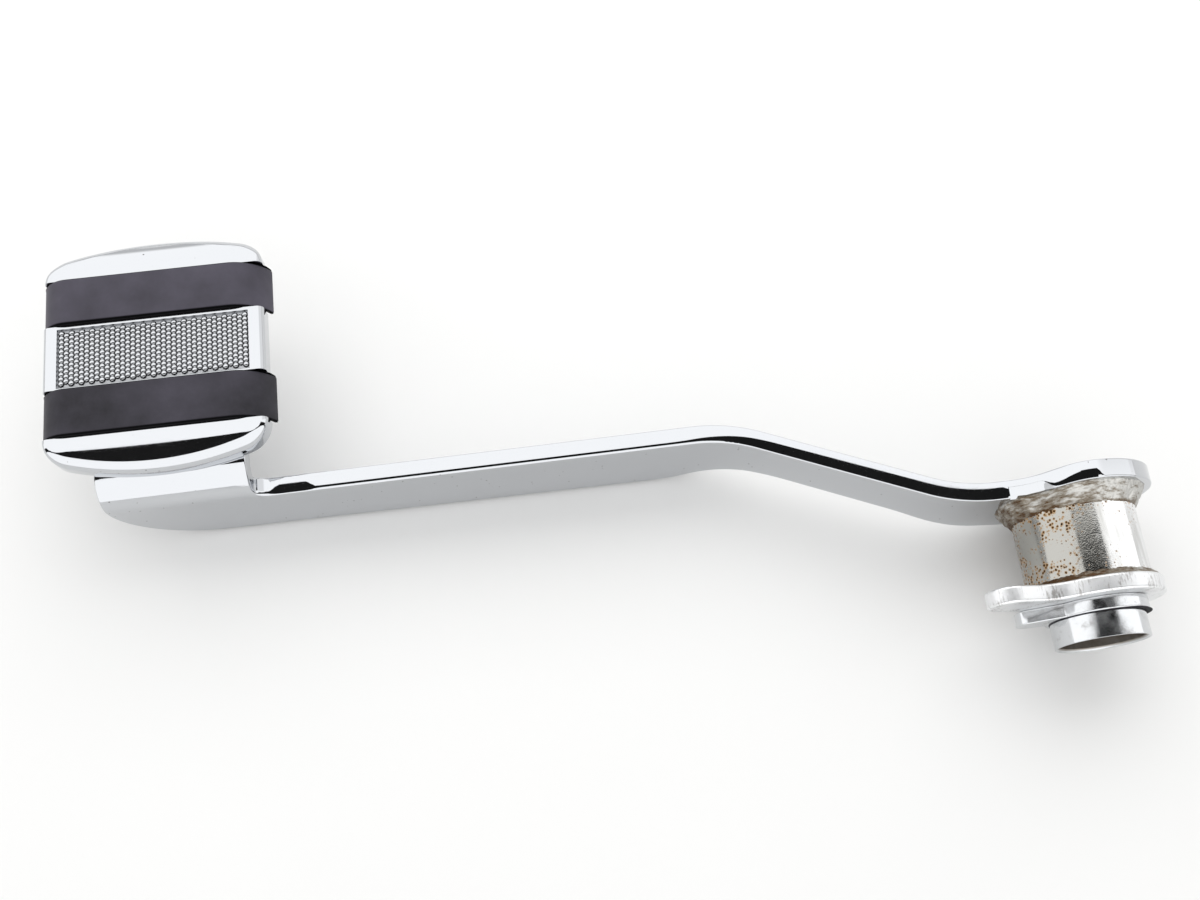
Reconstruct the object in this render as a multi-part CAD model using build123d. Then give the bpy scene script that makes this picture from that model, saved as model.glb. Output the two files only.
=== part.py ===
"""Rear brake pedal of a motorcycle: a joggled lever with a welded pivot hub and a bolted foot pad.

Millimetres. The origin is on the pivot axis, in the face of the lever's eye that the hub stands on.
Y is the pivot axis, with the hub towards -Y (inboard) and the pad towards +Y (outboard).
The lever runs forward along -X, and Z is up.
"""
import os
from math import atan2, cos, degrees, radians, sin, tan

from build123d import *

# Pivot hub, along the axis
tube_diameter = 32.0
tube_wall = 3.7
tube_length = 24.2
sleeve_wall = 1.2
sleeve_length = 43.9
mouth_chamfer = 0.8
plate_thickness = 4.4
plate_margin = 2.4
collar_thickness = 3.6
collar_wall = 1.1
washer_thickness = 0.8
washer_wall = 1.6

# Tang on the link plate and lug on the collar
tang_reach = 25.6
tang_rise = 11.4
tang_radius = 6.0
tang_neck_radius = 9.0
plate_edge_break = 0.6
lug_reach = 21.4
lug_height = 8.6
lug_tilt = 1.0
lug_corner = 2.2

# Weld beads
arm_weld_width = 3.4
arm_weld_throw = 5.0
plate_weld_width = 1.7
plate_weld_throw = 1.8
weld_crest = 0.62

# Lever bar
arm_thickness = 5.0
eye_margin = 5.4
shoulder_angle = 101.0
shoulder_round = 6.0
scoop_start = 12.2
scoop_radius = 8.0
heel_angle = -121.0
heel_radius = 12.0
flare_start = 42.0
flare_radius = 40.0
joggle_start = 31.6
joggle_run = 59.0
joggle_offset = 25.7
joggle_bend_radius = 42.0
bar_drop = 20.6
bar_top_hub = 11.0
bar_top_tab = 5.1
waist_drop = 10.2
waist_start = 79.0
waist_run = 26.0
waist_radius = 30.0
arm_edge_break = 1.1

# Tab that carries the pad
tab_right = 215.8
tab_width = 41.4
tab_top = 14.5
tab_bend_radius = 8.0
tab_toe_radius = 25.5
tab_notch_radius = 3.0
tab_reach = 56.2
tab_far_corner = 9.0

# Pad shell
pad_shift = 2.4
pad_setback = 38.8
pad_length = 58.4
pad_width = 66.8
pad_bulge = 5.4
pad_corner = 8.0
pad_height = 7.4
pad_wall = 2.2
pad_top_wall = 3.3
pad_crown_drop = 4.2
pad_edge_bevel = 1.7
pad_rim_break = 1.2

# Rubber strips and tread insert
strip_width = 13.2
strip_spacing = 31.6
strip_thickness = 3.0
strip_stand = 1.5
strip_overhang = 1.8
strip_seat = 0.8
strip_flap = 8.2
strip_shoulder = 3.4
strip_corner = 4.0
tread_length = 50.4
tread_width = 16.4
tread_thickness = 1.0
tread_sunk = 0.3
tread_fit = 0.15

# Pad fixing
base_thickness = 1.2
stud_diameter = 6.0
stud_pitch = 24.0
stud_head_diameter = 12.0
stud_head_thickness = 1.7
stud_clearance = 0.3
stud_tail = 2.0
lock_washer_diameter = 11.8
lock_washer_thickness = 1.6
nut_across_flats = 10.0
nut_height = 5.0

# Fits and small margins
radial_fit = 0.1
least_straight = 0.2
hair = 0.05

# Planes along the pivot axis
plate_far_y = -tube_length
plate_near_y = plate_far_y - plate_thickness
collar_near_y = plate_near_y - collar_thickness
washer_near_y = collar_near_y - washer_thickness
sleeve_near_y = arm_thickness - sleeve_length

# Heights and places worked out from the driving sizes
seat_diameter = tube_diameter - 2 * tube_wall
sleeve_diameter = seat_diameter - 2 * radial_fit
bore_diameter = sleeve_diameter - 2 * sleeve_wall
collar_radius = seat_diameter / 2 + collar_wall
washer_radius = seat_diameter / 2 + washer_wall
plate_radius = tube_diameter / 2 + plate_margin
eye_radius = tube_diameter / 2 + eye_margin
weld_seat_radius = tube_diameter / 2 + radial_fit
bend_start_z = tab_top - tab_bend_radius
tab_left = tab_right + tab_width
pad_centre_x = -(tab_right + tab_width / 2 + pad_shift)
pad_centre_y = joggle_offset + pad_setback
pad_top_z = tab_top + pad_height
strip_floor_z = pad_top_z + strip_stand - strip_thickness
strip_inner_x = pad_length / 2 - strip_seat
strip_outer_y = (strip_spacing + strip_width) / 2
scoop_top = bar_top_hub + (bar_top_tab - bar_top_hub) * scoop_start / tab_right
reach = tab_left + eye_radius


def around_axis(radius, start_y, end_y):
    """A round bar on the pivot axis between two planes."""
    disc = Plane.XZ * Circle(radius)
    return Pos(0, start_y, 0) * extrude(disc, start_y - end_y)


def ring(outer_radius, inner_radius, start_y, end_y):
    """A plain ring on the pivot axis between two planes."""
    return around_axis(outer_radius, start_y, end_y) - around_axis(inner_radius, start_y, end_y)


def corner(face, x, y):
    """The vertex of a flat outline that lies nearest to a point of its own plane."""
    return sorted(face.vertices(), key=lambda v: (v.X - x) ** 2 + (v.Y - y) ** 2)[0]


def rounded(face, corners):
    """A flat outline with each listed corner (x, y, radius) rounded."""
    for x, y, radius in corners:
        face = fillet(corner(face, x, y), radius)
    return face


def bead(width, throw, root_y, direction):
    """A convex weld bead round the tube, laid in the corner at root_y."""
    inner = weld_seat_radius
    toe = (inner, root_y)
    outer = (inner + width, root_y)
    crest = (inner + weld_crest * width, root_y + direction * weld_crest * throw)
    climb = (inner, root_y + direction * throw)
    section = make_face(Polyline(toe, outer, crest, climb, close=True))
    return revolve(section, Axis.Y)


def pivot_sleeve():
    """The steel sleeve that turns on the pivot, bevelled at both mouths."""
    sleeve = ring(sleeve_diameter / 2, bore_diameter / 2, arm_thickness, sleeve_near_y)
    rims = sleeve.edges().filter_by(GeomType.CIRCLE)
    mouths = rims.filter_by(lambda e: e.radius < sleeve_diameter / 2 - hair)
    return chamfer(mouths, mouth_chamfer)


def pivot_tube():
    """The stout hub tube between the lever's eye and the link plate."""
    return ring(tube_diameter / 2, seat_diameter / 2, 0, plate_far_y)


def link_plate():
    """The blanked plate at the inboard end of the tube, with a blunt tang to the front."""
    tang_tip = (-tang_reach, tang_rise)
    lean = degrees(atan2(tang_rise, -tang_reach))
    neck = Rectangle(tang_reach, 2 * tang_radius, align=(Align.MAX, Align.CENTER))
    tang = Circle(tang_radius) + Rot(0, 0, lean) * neck
    outline = Circle(plate_radius) + Pos(*tang_tip) * tang
    roots = [v for v in outline.vertices() if abs(Vector(v.X, v.Y).length - plate_radius) < hair]
    outline = fillet(roots, tang_neck_radius)
    outline = outline - Circle(seat_diameter / 2)
    plate = Pos(0, plate_far_y, 0) * extrude(Plane.XZ * outline, plate_thickness)
    near_rim = plate.faces().sort_by(Axis.Y)[0].outer_wire().edges()
    return chamfer(near_rim, plate_edge_break)


def stop_collar():
    """The thin collar against the link plate, with a stop lug to the front."""
    lug = Pos(-lug_reach / 2, lug_tilt) * Rectangle(lug_reach, lug_height)
    lug = fillet(lug.vertices().group_by(Axis.X)[0], lug_corner)
    outline = Circle(collar_radius) + lug - Circle(seat_diameter / 2)
    return Pos(0, plate_near_y, 0) * extrude(Plane.XZ * outline, collar_thickness)


def seal_washer():
    """The rubber washer that keeps grit out of the collar's outer face."""
    return ring(washer_radius, seat_diameter / 2, collar_near_y, washer_near_y)


def bar_plan():
    """The bar's thickness in plan: flat at the eye, joggled outwards, flat again at the tab."""
    slope = atan2(joggle_offset, joggle_run)
    shift = arm_thickness * tan(slope / 2)
    bend = (-joggle_start, 0)
    knee = (-joggle_start - joggle_run, joggle_offset)
    back_bend = (bend[0] + shift, arm_thickness)
    back_knee = (knee[0] + shift, joggle_offset + arm_thickness)
    right = 2 * eye_radius
    left = -tab_left - eye_radius
    front = [(right, 0), bend, knee, (left, joggle_offset)]
    back = [(left, joggle_offset + arm_thickness), back_knee, back_bend, (right, arm_thickness)]
    face = make_face(Polyline(*front, *back, close=True))
    outer_radius = joggle_bend_radius + arm_thickness
    bends = [(*bend, outer_radius), (*back_bend, joggle_bend_radius)]
    knees = [(*knee, joggle_bend_radius), (*back_knee, outer_radius)]
    return rounded(face, bends + knees)


def on_eye(angle):
    """The point of the eye's rim at an angle from the rear, seen from inboard."""
    return (eye_radius * cos(radians(angle)), eye_radius * sin(radians(angle)))


def bar_side():
    """The bar's outline from the side: eye with a scooped shoulder, waist, deep front end and round toe."""
    shoulder = on_eye(shoulder_angle)
    heel = on_eye(heel_angle)
    scoop = (-scoop_start, scoop_top)
    notch = (-tab_right, bar_top_tab)
    toe = (-tab_left, -bar_drop)
    foot = (-waist_start - waist_run, -bar_drop)
    waist = (-waist_start, -waist_drop)
    flare = (-flare_start, -waist_drop)
    top = [shoulder, scoop, notch, (-tab_right, bend_start_z), (-tab_left, bend_start_z)]
    outline = Polyline(*top, toe, foot, waist, flare, heel) + ThreePointArc(heel, (eye_radius, 0), shoulder)
    toe_radius = min(tab_toe_radius, bend_start_z + bar_drop - least_straight)
    notch_radius = min(tab_notch_radius, bend_start_z - bar_top_tab - least_straight)
    eye = [(*shoulder, shoulder_round), (*scoop, scoop_radius), (*heel, heel_radius)]
    underside = [(*foot, waist_radius), (*waist, waist_radius), (*flare, flare_radius)]
    tab = [(*notch, notch_radius), (*toe, toe_radius)]
    return rounded(make_face(outline), eye + underside + tab)


def tab_bend():
    """The part of the tab that rolls over and runs outwards under the pad."""
    front = joggle_offset
    inner_radius = tab_bend_radius - arm_thickness
    centre = (front + tab_bend_radius, bend_start_z)
    far = front + tab_reach
    rise = Line((front, bend_start_z), (front + arm_thickness, bend_start_z))
    inner = CenterArc(centre, inner_radius, 180, -90)
    under = Line(inner @ 1, (far, tab_top - arm_thickness))
    end = Line(under @ 1, (far, tab_top))
    top = Line(end @ 1, (centre[0], tab_top))
    outer = CenterArc(centre, tab_bend_radius, 90, 90)
    face = make_face(rise + inner + under + end + top + outer)
    tab = Pos(-tab_left, 0, 0) * extrude(Plane.YZ * face, tab_width)
    far_corners = tab.edges().filter_by(Axis.Z).group_by(Axis.Y)[-1]
    return fillet(far_corners, tab_far_corner)


def stud_places():
    """Centres of the pad's two studs in plan, front one first."""
    return [Pos(pad_centre_x + side * stud_pitch / 2, pad_centre_y, 0) for side in (-1, 1)]


def stud_holes():
    """Clearance holes for the studs, taller than the pad."""
    hole = Cylinder(stud_diameter / 2 + stud_clearance, 4 * (pad_height + arm_thickness))
    return [place * Pos(0, 0, tab_top) * hole for place in stud_places()]


def lever_arm():
    """The lever: one blanked and bent steel bar with the eye, the joggle and the rolled tab."""
    plan = Pos(0, 0, -2 * eye_radius) * extrude(bar_plan(), 4 * eye_radius)
    side = extrude(Plane.XZ * bar_side(), reach, both=True)
    arm = (plan & side) + tab_bend()
    arm = arm - around_axis(seat_diameter / 2, 2 * arm_thickness, -arm_thickness)
    for hole in stud_holes():
        arm = arm - hole
    return break_outline(arm)


def break_outline(arm):
    """The polished break along the bar's broad faces, from the tab's notch round the eye and back."""
    def on_rim(edge):
        middle = edge @ 0.5
        clear_of_bore = Vector(middle.X, 0, middle.Z).length > seat_diameter / 2 + hair
        below_bend = middle.Z < bend_start_z - hair
        across = abs((edge % 0.5).Y) > 1 - hair
        return clear_of_bore and below_bend and not across
    outline = arm.faces().filter_by(lambda f: abs(f.normal_at().Y) < hair)
    return chamfer(outline.edges().filter_by(on_rim), arm_edge_break)


def pad_outline(inset):
    """The pad's outline about its own centre: straight ends, bulged sides and round corners."""
    half_length = pad_length / 2 - inset
    half_width = pad_width / 2 - inset
    half_end = half_width - pad_bulge
    far = ThreePointArc((-half_length, half_end), (0, half_width), (half_length, half_end))
    near = ThreePointArc((-half_length, -half_end), (0, -half_width), (half_length, -half_end))
    right = Line((half_length, half_end), (half_length, -half_end))
    left = Line((-half_length, half_end), (-half_length, -half_end))
    face = make_face(far + right + near + left)
    return fillet(face.vertices(), pad_corner - inset)


def pad_block(inset, bottom_z, height):
    """A block of the pad's outline, standing where the pad stands."""
    return Pos(pad_centre_x, pad_centre_y, bottom_z) * extrude(pad_outline(inset), height)


def pad_crown():
    """The form of the pad's top across its width: flat under the strips and falling away to both lips."""
    flat = strip_outer_y
    lip = pad_width / 2 + least_straight
    drop = -pad_crown_drop
    foot = -2 * pad_height
    top = Line((-flat, 0), (flat, 0))
    far = TangentArc((flat, 0), (lip, drop), tangent=(1, 0))
    near = TangentArc((-flat, 0), (-lip, drop), tangent=(-1, 0))
    sides = Polyline((lip, drop), (lip, foot), (-lip, foot), (-lip, drop))
    section = make_face(top + far + sides + near)
    return Pos(pad_centre_x, pad_centre_y, pad_top_z) * extrude(Plane.YZ * section, pad_length, both=True)


def strip_channel(offset):
    """What the shell gives up to one rubber strip: a shallow trough over the top and down both ends."""
    width = strip_width + 2 * radial_fit
    depth = 4 * pad_height
    whole = Box(2 * pad_length, width, depth)
    kept = Box(2 * strip_inner_x, width, depth, align=(Align.CENTER, Align.CENTER, Align.MAX))
    return Pos(pad_centre_x, pad_centre_y + offset, strip_floor_z) * (whole - kept)


def on_upper_rim(edge):
    """Whether an edge of the plain pad block runs round its top, where the crown meets the walls."""
    middle = edge @ 0.5
    upright = abs((edge % 0.5).Z) > 1 - hair
    along = abs(middle.X - pad_centre_x)
    across = abs(middle.Y - pad_centre_y)
    within_top = along < pad_length / 4 and across < strip_outer_y + hair
    return middle.Z > tab_top + hair and not upright and not within_top


def pad_shell():
    """The plated pad cap: bevelled rim, hollow underside, troughs for the strips and a tread recess."""
    shell = pad_block(0, tab_top, 2 * pad_height) & pad_crown()
    shell = chamfer(shell.edges().filter_by(on_upper_rim), pad_edge_bevel)
    lower_rim = shell.faces().sort_by(Axis.Z)[0].outer_wire().edges()
    shell = chamfer(lower_rim, pad_rim_break)
    shell = shell - pad_block(pad_wall, tab_top - pad_height, 2 * pad_height - pad_top_wall)
    for offset in (-strip_spacing / 2, strip_spacing / 2):
        shell = shell - strip_channel(offset)
    recess_depth = tread_thickness + tread_sunk
    recess = Box(tread_length + 2 * tread_fit, tread_width + 2 * tread_fit, 2 * recess_depth)
    return shell - Pos(pad_centre_x, pad_centre_y, pad_top_z) * recess


def rubber_strip(offset):
    """A rubber strip that lies in its trough and hooks over both ends of the shell."""
    half = strip_inner_x + radial_fit
    tip = pad_length / 2 + strip_overhang
    top = strip_thickness
    bottom = strip_thickness - strip_flap
    inner = [(-half, bottom), (-half, 0), (half, 0), (half, bottom)]
    outer = [(tip, bottom), (tip - strip_shoulder, top), (strip_shoulder - tip, top), (-tip, bottom)]
    section = make_face(Polyline(*inner, *outer, close=True))
    shoulders = [(tip - strip_shoulder, top, strip_corner), (strip_shoulder - tip, top, strip_corner)]
    section = rounded(section, shoulders)
    strip = extrude(Plane.XZ * section, strip_width / 2, both=True)
    return Pos(pad_centre_x, pad_centre_y + offset, strip_floor_z) * strip


def tread_insert():
    """The tread plate let into the shell between the strips."""
    plate = Box(tread_length, tread_width, tread_thickness, align=(Align.CENTER, Align.CENTER, Align.MAX))
    return Pos(pad_centre_x, pad_centre_y, pad_top_z - tread_sunk) * plate


def pad_base():
    """The steel plate that closes the shell and lies on the tab."""
    base = pad_block(pad_wall + radial_fit, tab_top, base_thickness)
    for hole in stud_holes():
        base = base - hole
    return base


def hung(diameter, height, place, top_z):
    """A round piece of a given height that hangs from a level at one stud."""
    return place * Pos(0, 0, top_z - height / 2) * Cylinder(diameter / 2, height)


def pad_stud(place):
    """A headed stud whose head lies on the base plate inside the shell."""
    seat_z = tab_top + base_thickness
    tail_z = tab_top - arm_thickness - lock_washer_thickness - nut_height - stud_tail
    shank = hung(stud_diameter, seat_z - tail_z, place, seat_z)
    head = hung(stud_head_diameter, stud_head_thickness, place, seat_z + stud_head_thickness)
    return shank + head


def lock_washer(place):
    """The washer between the tab and the nut."""
    top_z = tab_top - arm_thickness
    hole = hung(stud_diameter + 2 * radial_fit, lock_washer_thickness, place, top_z)
    return hung(lock_washer_diameter, lock_washer_thickness, place, top_z) - hole


def pad_nut(place):
    """The hexagon nut under the tab."""
    top_z = tab_top - arm_thickness - lock_washer_thickness
    hexagon = RegularPolygon(nut_across_flats / 2, 6, major_radius=False)
    nut = place * Pos(0, 0, top_z - nut_height) * extrude(hexagon, nut_height)
    return nut - hung(stud_diameter + 2 * radial_fit, nut_height, place, top_z)


nodes = {
    "lever_arm": lever_arm(),
    "pivot_sleeve": pivot_sleeve(),
    "pivot_tube": pivot_tube(),
    "arm_weld": bead(arm_weld_width, arm_weld_throw, 0, -1),
    "link_plate": link_plate(),
    "plate_weld": bead(plate_weld_width, plate_weld_throw, plate_far_y, 1),
    "stop_collar": stop_collar(),
    "seal_washer": seal_washer(),
    "pad_shell": pad_shell(),
    "tread_insert": tread_insert(),
    "rubber_strip_inner": rubber_strip(-strip_spacing / 2),
    "rubber_strip_outer": rubber_strip(strip_spacing / 2),
    "pad_base": pad_base(),
}
for name, place in zip(("front", "rear"), stud_places()):
    nodes["pad_stud_" + name] = pad_stud(place)
    nodes["lock_washer_" + name] = lock_washer(place)
    nodes["pad_nut_" + name] = pad_nut(place)

os.makedirs("parts", exist_ok=True)
for name, shape in nodes.items():
    export_step(shape, f"parts/{name}.step")
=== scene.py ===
import math

import bmesh
import bpy
from mathutils import Matrix, Vector, noise


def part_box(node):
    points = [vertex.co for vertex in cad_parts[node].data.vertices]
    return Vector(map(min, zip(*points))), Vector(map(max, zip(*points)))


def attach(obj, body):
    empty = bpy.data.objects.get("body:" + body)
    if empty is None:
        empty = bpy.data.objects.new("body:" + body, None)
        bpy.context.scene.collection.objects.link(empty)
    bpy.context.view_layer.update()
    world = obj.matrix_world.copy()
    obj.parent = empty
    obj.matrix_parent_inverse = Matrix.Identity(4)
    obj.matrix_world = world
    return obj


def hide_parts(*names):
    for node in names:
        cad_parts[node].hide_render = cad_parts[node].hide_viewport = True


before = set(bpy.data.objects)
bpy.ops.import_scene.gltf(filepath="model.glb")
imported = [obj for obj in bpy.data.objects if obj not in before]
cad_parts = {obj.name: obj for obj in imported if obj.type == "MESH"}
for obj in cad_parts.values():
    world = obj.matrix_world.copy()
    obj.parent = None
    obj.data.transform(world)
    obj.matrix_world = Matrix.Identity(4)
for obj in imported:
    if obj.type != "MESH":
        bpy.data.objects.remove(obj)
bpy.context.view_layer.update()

bl_info = {
    "name": "Rear brake pedal",
    "version": (1, 0, 0),
    "blender": (4, 5, 0),
    "location": "View3D > Sidebar > Pedal",
    "description": "Builds a chromed rear brake pedal with a rubber and knurled foot pad",
    "category": "Object",
}

MM = 0.001

# Points closer than this are one point, in an outline and in a mesh
DOUBLED = 0.02 * MM
TOUCHING = 1e-7

# How finely the meshes are divided, and how far to either side of a bend the lever is
CHORD = 0.6 * MM
LEVER_STEP = 1.2 * MM
BEND_STEP = 1.0 * MM
BEND_REACH = 12 * MM
ROLL_STEP = 0.8 * MM
TUBE_STEP = 0.8 * MM
PAD_STEP = 1.5 * MM
CROWN_STEP = 0.5 * MM
STRIP_STEP = 3 * MM
ROUND_STEPS = 6
BEAD_ARCH_STEPS = 12
RING_STEPS = 160
TUBE_STEPS = 320
BEAD_STEPS = 400

# Small breaks on edges that hardly show
HOLE_BREAK = 0.3 * MM
PLATE_BORE_BREAK = 0.2 * MM
COLLAR_BORE_BREAK = 0.15 * MM
SLEEVE_BREAK = 0.1 * MM
MOUTH_BREAK = 0.2 * MM
WASHER_BREAK = 0.1 * MM
FLAP_BREAK = 0.4 * MM
FLAP_INNER_BREAK = 0.2 * MM

# Places that the CAD gives
LEVER_LOW, LEVER_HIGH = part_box("lever_arm")
SLEEVE_LOW, SLEEVE_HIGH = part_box("pivot_sleeve")
TUBE_LOW, TUBE_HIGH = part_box("pivot_tube")
PLATE_LOW, PLATE_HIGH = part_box("link_plate")
COLLAR_LOW, COLLAR_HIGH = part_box("stop_collar")
_, WASHER_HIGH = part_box("seal_washer")
SHELL_LOW, SHELL_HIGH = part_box("pad_shell")
STRIP_LOW, STRIP_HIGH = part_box("rubber_strip_inner")
FAR_STRIP_LOW, FAR_STRIP_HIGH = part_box("rubber_strip_outer")
TREAD_LOW, TREAD_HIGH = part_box("tread_insert")
BASE_LOW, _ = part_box("pad_base")
PAD_CENTRE = (SHELL_LOW + SHELL_HIGH) / 2
TAB_TOP = BASE_LOW.z


# Properties

def linear(code):
    """An sRGB hex colour as linear red, green and blue."""
    parts = [int(code[i:i + 2], 16) / 255 for i in (1, 3, 5)]
    return [c / 12.92 if c <= 0.04045 else ((c + 0.055) / 1.055) ** 2.4 for c in parts]


def length(name, millimetres, description):
    """A length property with its default in millimetres."""
    return bpy.props.FloatProperty(
        name=name, description=description, default=millimetres * MM, unit="LENGTH", precision=5)


def colour(name, code, description):
    """A colour property with its default as an sRGB hex colour."""
    return bpy.props.FloatVectorProperty(
        name=name, description=description, default=linear(code), subtype="COLOR", size=3, min=0, max=1)


def angle(name, degrees, description):
    """An angle property with its default in degrees."""
    return bpy.props.FloatProperty(
        name=name, description=description, default=math.radians(degrees), subtype="ANGLE")


class LeverSizes(bpy.types.PropertyGroup):
    """Sizes of the lever's blank, its joggle and its rolled tab."""
    edge_round: length("Edge round", 0.45, "Polished round along the broad faces")
    edge_spread: length("Edge spread", 1.3, "How far the near round reaches over the edge")
    seat_radius: length("Seat radius", 12.3, "Bore of the eye that the sleeve sits in")
    shoulder: angle("Shoulder", 101, "Where the top flank meets the eye")
    shoulder_round: length("Shoulder round", 10, "Round between the eye and its top flank")
    scoop_start: length("Scoop start", 13.8, "Distance of the scoop from the pivot")
    scoop_height: length("Scoop height", 10.67, "Height of the scoop above the pivot")
    scoop_round: length("Scoop round", 10, "Round at the foot of the eye's flank")
    heel: angle("Heel", -121, "Where the underside meets the eye")
    heel_round: length("Heel round", 12, "Round between the underside and the eye")
    flare_start: length("Flare start", 42, "Where the underside starts to fall to the eye")
    flare_round: length("Flare round", 40, "Round at the start of the flare")
    waist_start: length("Waist start", 79, "Front end of the shallow waist")
    waist_run: length("Waist run", 26, "Length over which the bar deepens")
    waist_drop: length("Waist drop", 10.2, "Underside of the waist below the pivot")
    waist_round: length("Waist round", 30, "Rounds where the bar deepens")
    bar_drop: length("Bar drop", 20.6, "Underside of the front end below the pivot")
    top_at_tab: length("Top at the tab", 5.1, "Height of the bar's top where the tab starts")
    tab_right: length("Tab edge", 217.4, "Distance of the tab's rear edge from the pivot")
    tab_clear: length("Tab clear", 1, "Distance from the tab's edge at which the bar stays upright")
    notch_round: length("Notch round", 4, "Round between the bar's top and the tab")
    toe_round: length("Toe round", 25.5, "Round below the tab")
    far_corner: length("Far corner", 9, "Round of the tab's far corners")
    bend_radius: length("Tab bend", 9.3, "Outside radius of the rolled tab")
    joggle_start: length("Joggle start", 31.6, "Where the joggle leaves the eye's plane")
    joggle_run: length("Joggle run", 59, "Length of the joggle")
    joggle_offset: length("Joggle offset", 25.7, "How far the joggle carries the bar outwards")
    joggle_bend: length("Joggle bend", 42, "Inside radius of the joggle's bends")
    facet_start: length("Facet start", 17.2, "Rear end of the hand-ground facet on the joggle's top")
    facet_end: length("Facet end", 105, "Front end of the hand-ground facet")
    facet_fade: length("Facet fade", 28, "Length over which the facet runs out at the knee")
    dish_start: length("Dish start", 8.5, "Rear end of the dish ground into the scoop")
    dish_end: length("Dish end", 19, "Front end of the dish")
    flank_start: length("Flank start", -2.2, "Rear end of the facet ground on the eye's flank")
    flank_end: length("Flank end", 13, "Front end of the facet on the flank")
    flank_fade: length("Flank fade", 9.5, "Length over which the facet on the flank narrows")
    flank_stop: length("Flank stop", 1.6, "Length over which the facet on the flank ends at the rear")
    nick_start: length("Nick start", 201, "Rear end of the facet ground beside the tab")
    nick_end: length("Nick end", 214, "Front end of the facet beside the tab")
    run_out: length("Run-out", 3, "Length over which the short facets run out")
    ground_above: length("Ground above", 3, "Height above which the edge is the lever's top and has facets")
    crisp: length("Crisp end", 0.06, "Length of a crisp border between two facets")


class HubSizes(bpy.types.PropertyGroup):
    """Sizes of the hub's rings, plate, collar and welds."""
    bore_radius: length("Bore radius", 11, "Bore of the pivot sleeve")
    mouth: length("Mouth", 0.8, "Bevel at the sleeve's mouths")
    ring_round: length("Ring round", 0.35, "Worn round on the rings' rims")
    washer_edge: length("Washer edge", 0.25, "Thickness of the washer's rim")
    washer_slip: length("Washer slip", 1.0, "How far the washer's rim has slipped to the rear")
    plate_radius: length("Plate radius", 18.4, "Round part of the link plate")
    tang_reach: length("Tang reach", 25.6, "Tang's round end in front of the pivot")
    tang_rise: length("Tang rise", 11.4, "Tang's round end above the pivot")
    tang_radius: length("Tang radius", 6, "Round end of the tang")
    tang_neck: length("Tang neck", 9, "Rounds where the tang leaves the plate")
    plate_round: length("Plate round", 0.7, "Rolled-over edge of the blanked plate")
    collar_radius: length("Collar radius", 13.4, "Round part of the stop collar")
    lug_reach: length("Lug reach", 21.4, "Front of the collar's stop lug")
    lug_root: length("Lug root", 7.6, "Top of the stop lug where it leaves the collar")
    lug_top: length("Lug top", 3.4, "Top of the stop lug at its front")
    lug_bottom: length("Lug bottom", -3.3, "Underside of the stop lug")
    lug_corner: length("Lug corner", 3.0, "Round of the stop lug's corners")
    weld_margin: length("Weld margin", 0.5, "Least distance of the arm weld from the eye's edge")
    ripple: length("Ripple", 2.1, "Spacing of the weld's ripples")
    ripple_height: length("Ripple height", 0.22, "Height of the weld's ripples")


class PadSizes(bpy.types.PropertyGroup):
    """Sizes of the pad's shell, rubber strips, tread and fixings."""
    bulge: length("Bulge", 5.4, "How far the long sides bulge")
    corner: length("Corner", 8, "Round of the corners in plan")
    rim_round: length("Rim round", 1.9, "Rolled round of the rim at the ends")
    lip_round: length("Lip round", 3.4, "Rolled round of the rim at the lips")
    foot_break: length("Foot break", 1.0, "Break at the foot of the wall")
    lip_sweep: length("Lip sweep", 22, "Wide round where the near lip starts to fall")
    lip_taper: bpy.props.FloatProperty(
        name="Lip taper", description="How soon the wide round is lost towards the lip's ends", default=1.1,
        subtype="FACTOR")
    lip_lean: angle("Lip lean", 15, "Slope of the near lip where its rim starts")
    far_flat: length("Far flat", 22.4, "Where the far lip starts to fall, from the middle line")
    far_drop: length("Far drop", 4.0, "How far the far lip falls")
    wall: length("Wall", 2.2, "Wall of the shell")
    top_wall: length("Top wall", 3.3, "Thickness of the shell's top")
    strip_thickness: length("Strip thickness", 3.0, "Rubber over the shell's top")
    strip_stand: length("Strip stand", 1.5, "How far the rubber stands out of its trough")
    strip_seat: length("Strip seat", 0.8, "How deep the flaps sit in the shell's ends")
    strip_shoulder: length("Strip shoulder", 3.4, "How far the flaps splay")
    strip_front: length("Strip front", 7.4, "Round where the strip turns down at the front end")
    strip_rear: length("Strip rear", 11.5, "Round where the strip turns down at the rear end")
    strip_bed: length("Strip bed", 4.5, "Round of the shell's ends under the strip")
    strip_lip: length("Strip lip", 0.9, "Thickness of the flaps at their feet")
    strip_round: length("Strip round", 0.7, "Moulded round on the strip's long edges")
    fit: length("Fit", 0.1, "Gap between the rubber and its trough")
    tread_fit: length("Tread fit", 0.05, "Gap round the tread plate")
    tread_gap: length("Tread gap", 0.45, "Open gap along the tread plate's near edge")
    knurl_pitch: length("Knurl pitch", 2.69, "Spacing of the knurl's columns")
    knurl_row: length("Knurl row", 1.31, "Spacing of the knurl's rows")
    knurl_height: length("Knurl height", 0.5, "Height of the knurl's points")
    knurl_width: length("Knurl width", 1.9, "Width of each point at its foot")
    stud_diameter: length("Stud diameter", 6, "Shank of the studs")
    stud_clearance: length("Stud clearance", 0.3, "Room round the studs in the tab")


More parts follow.
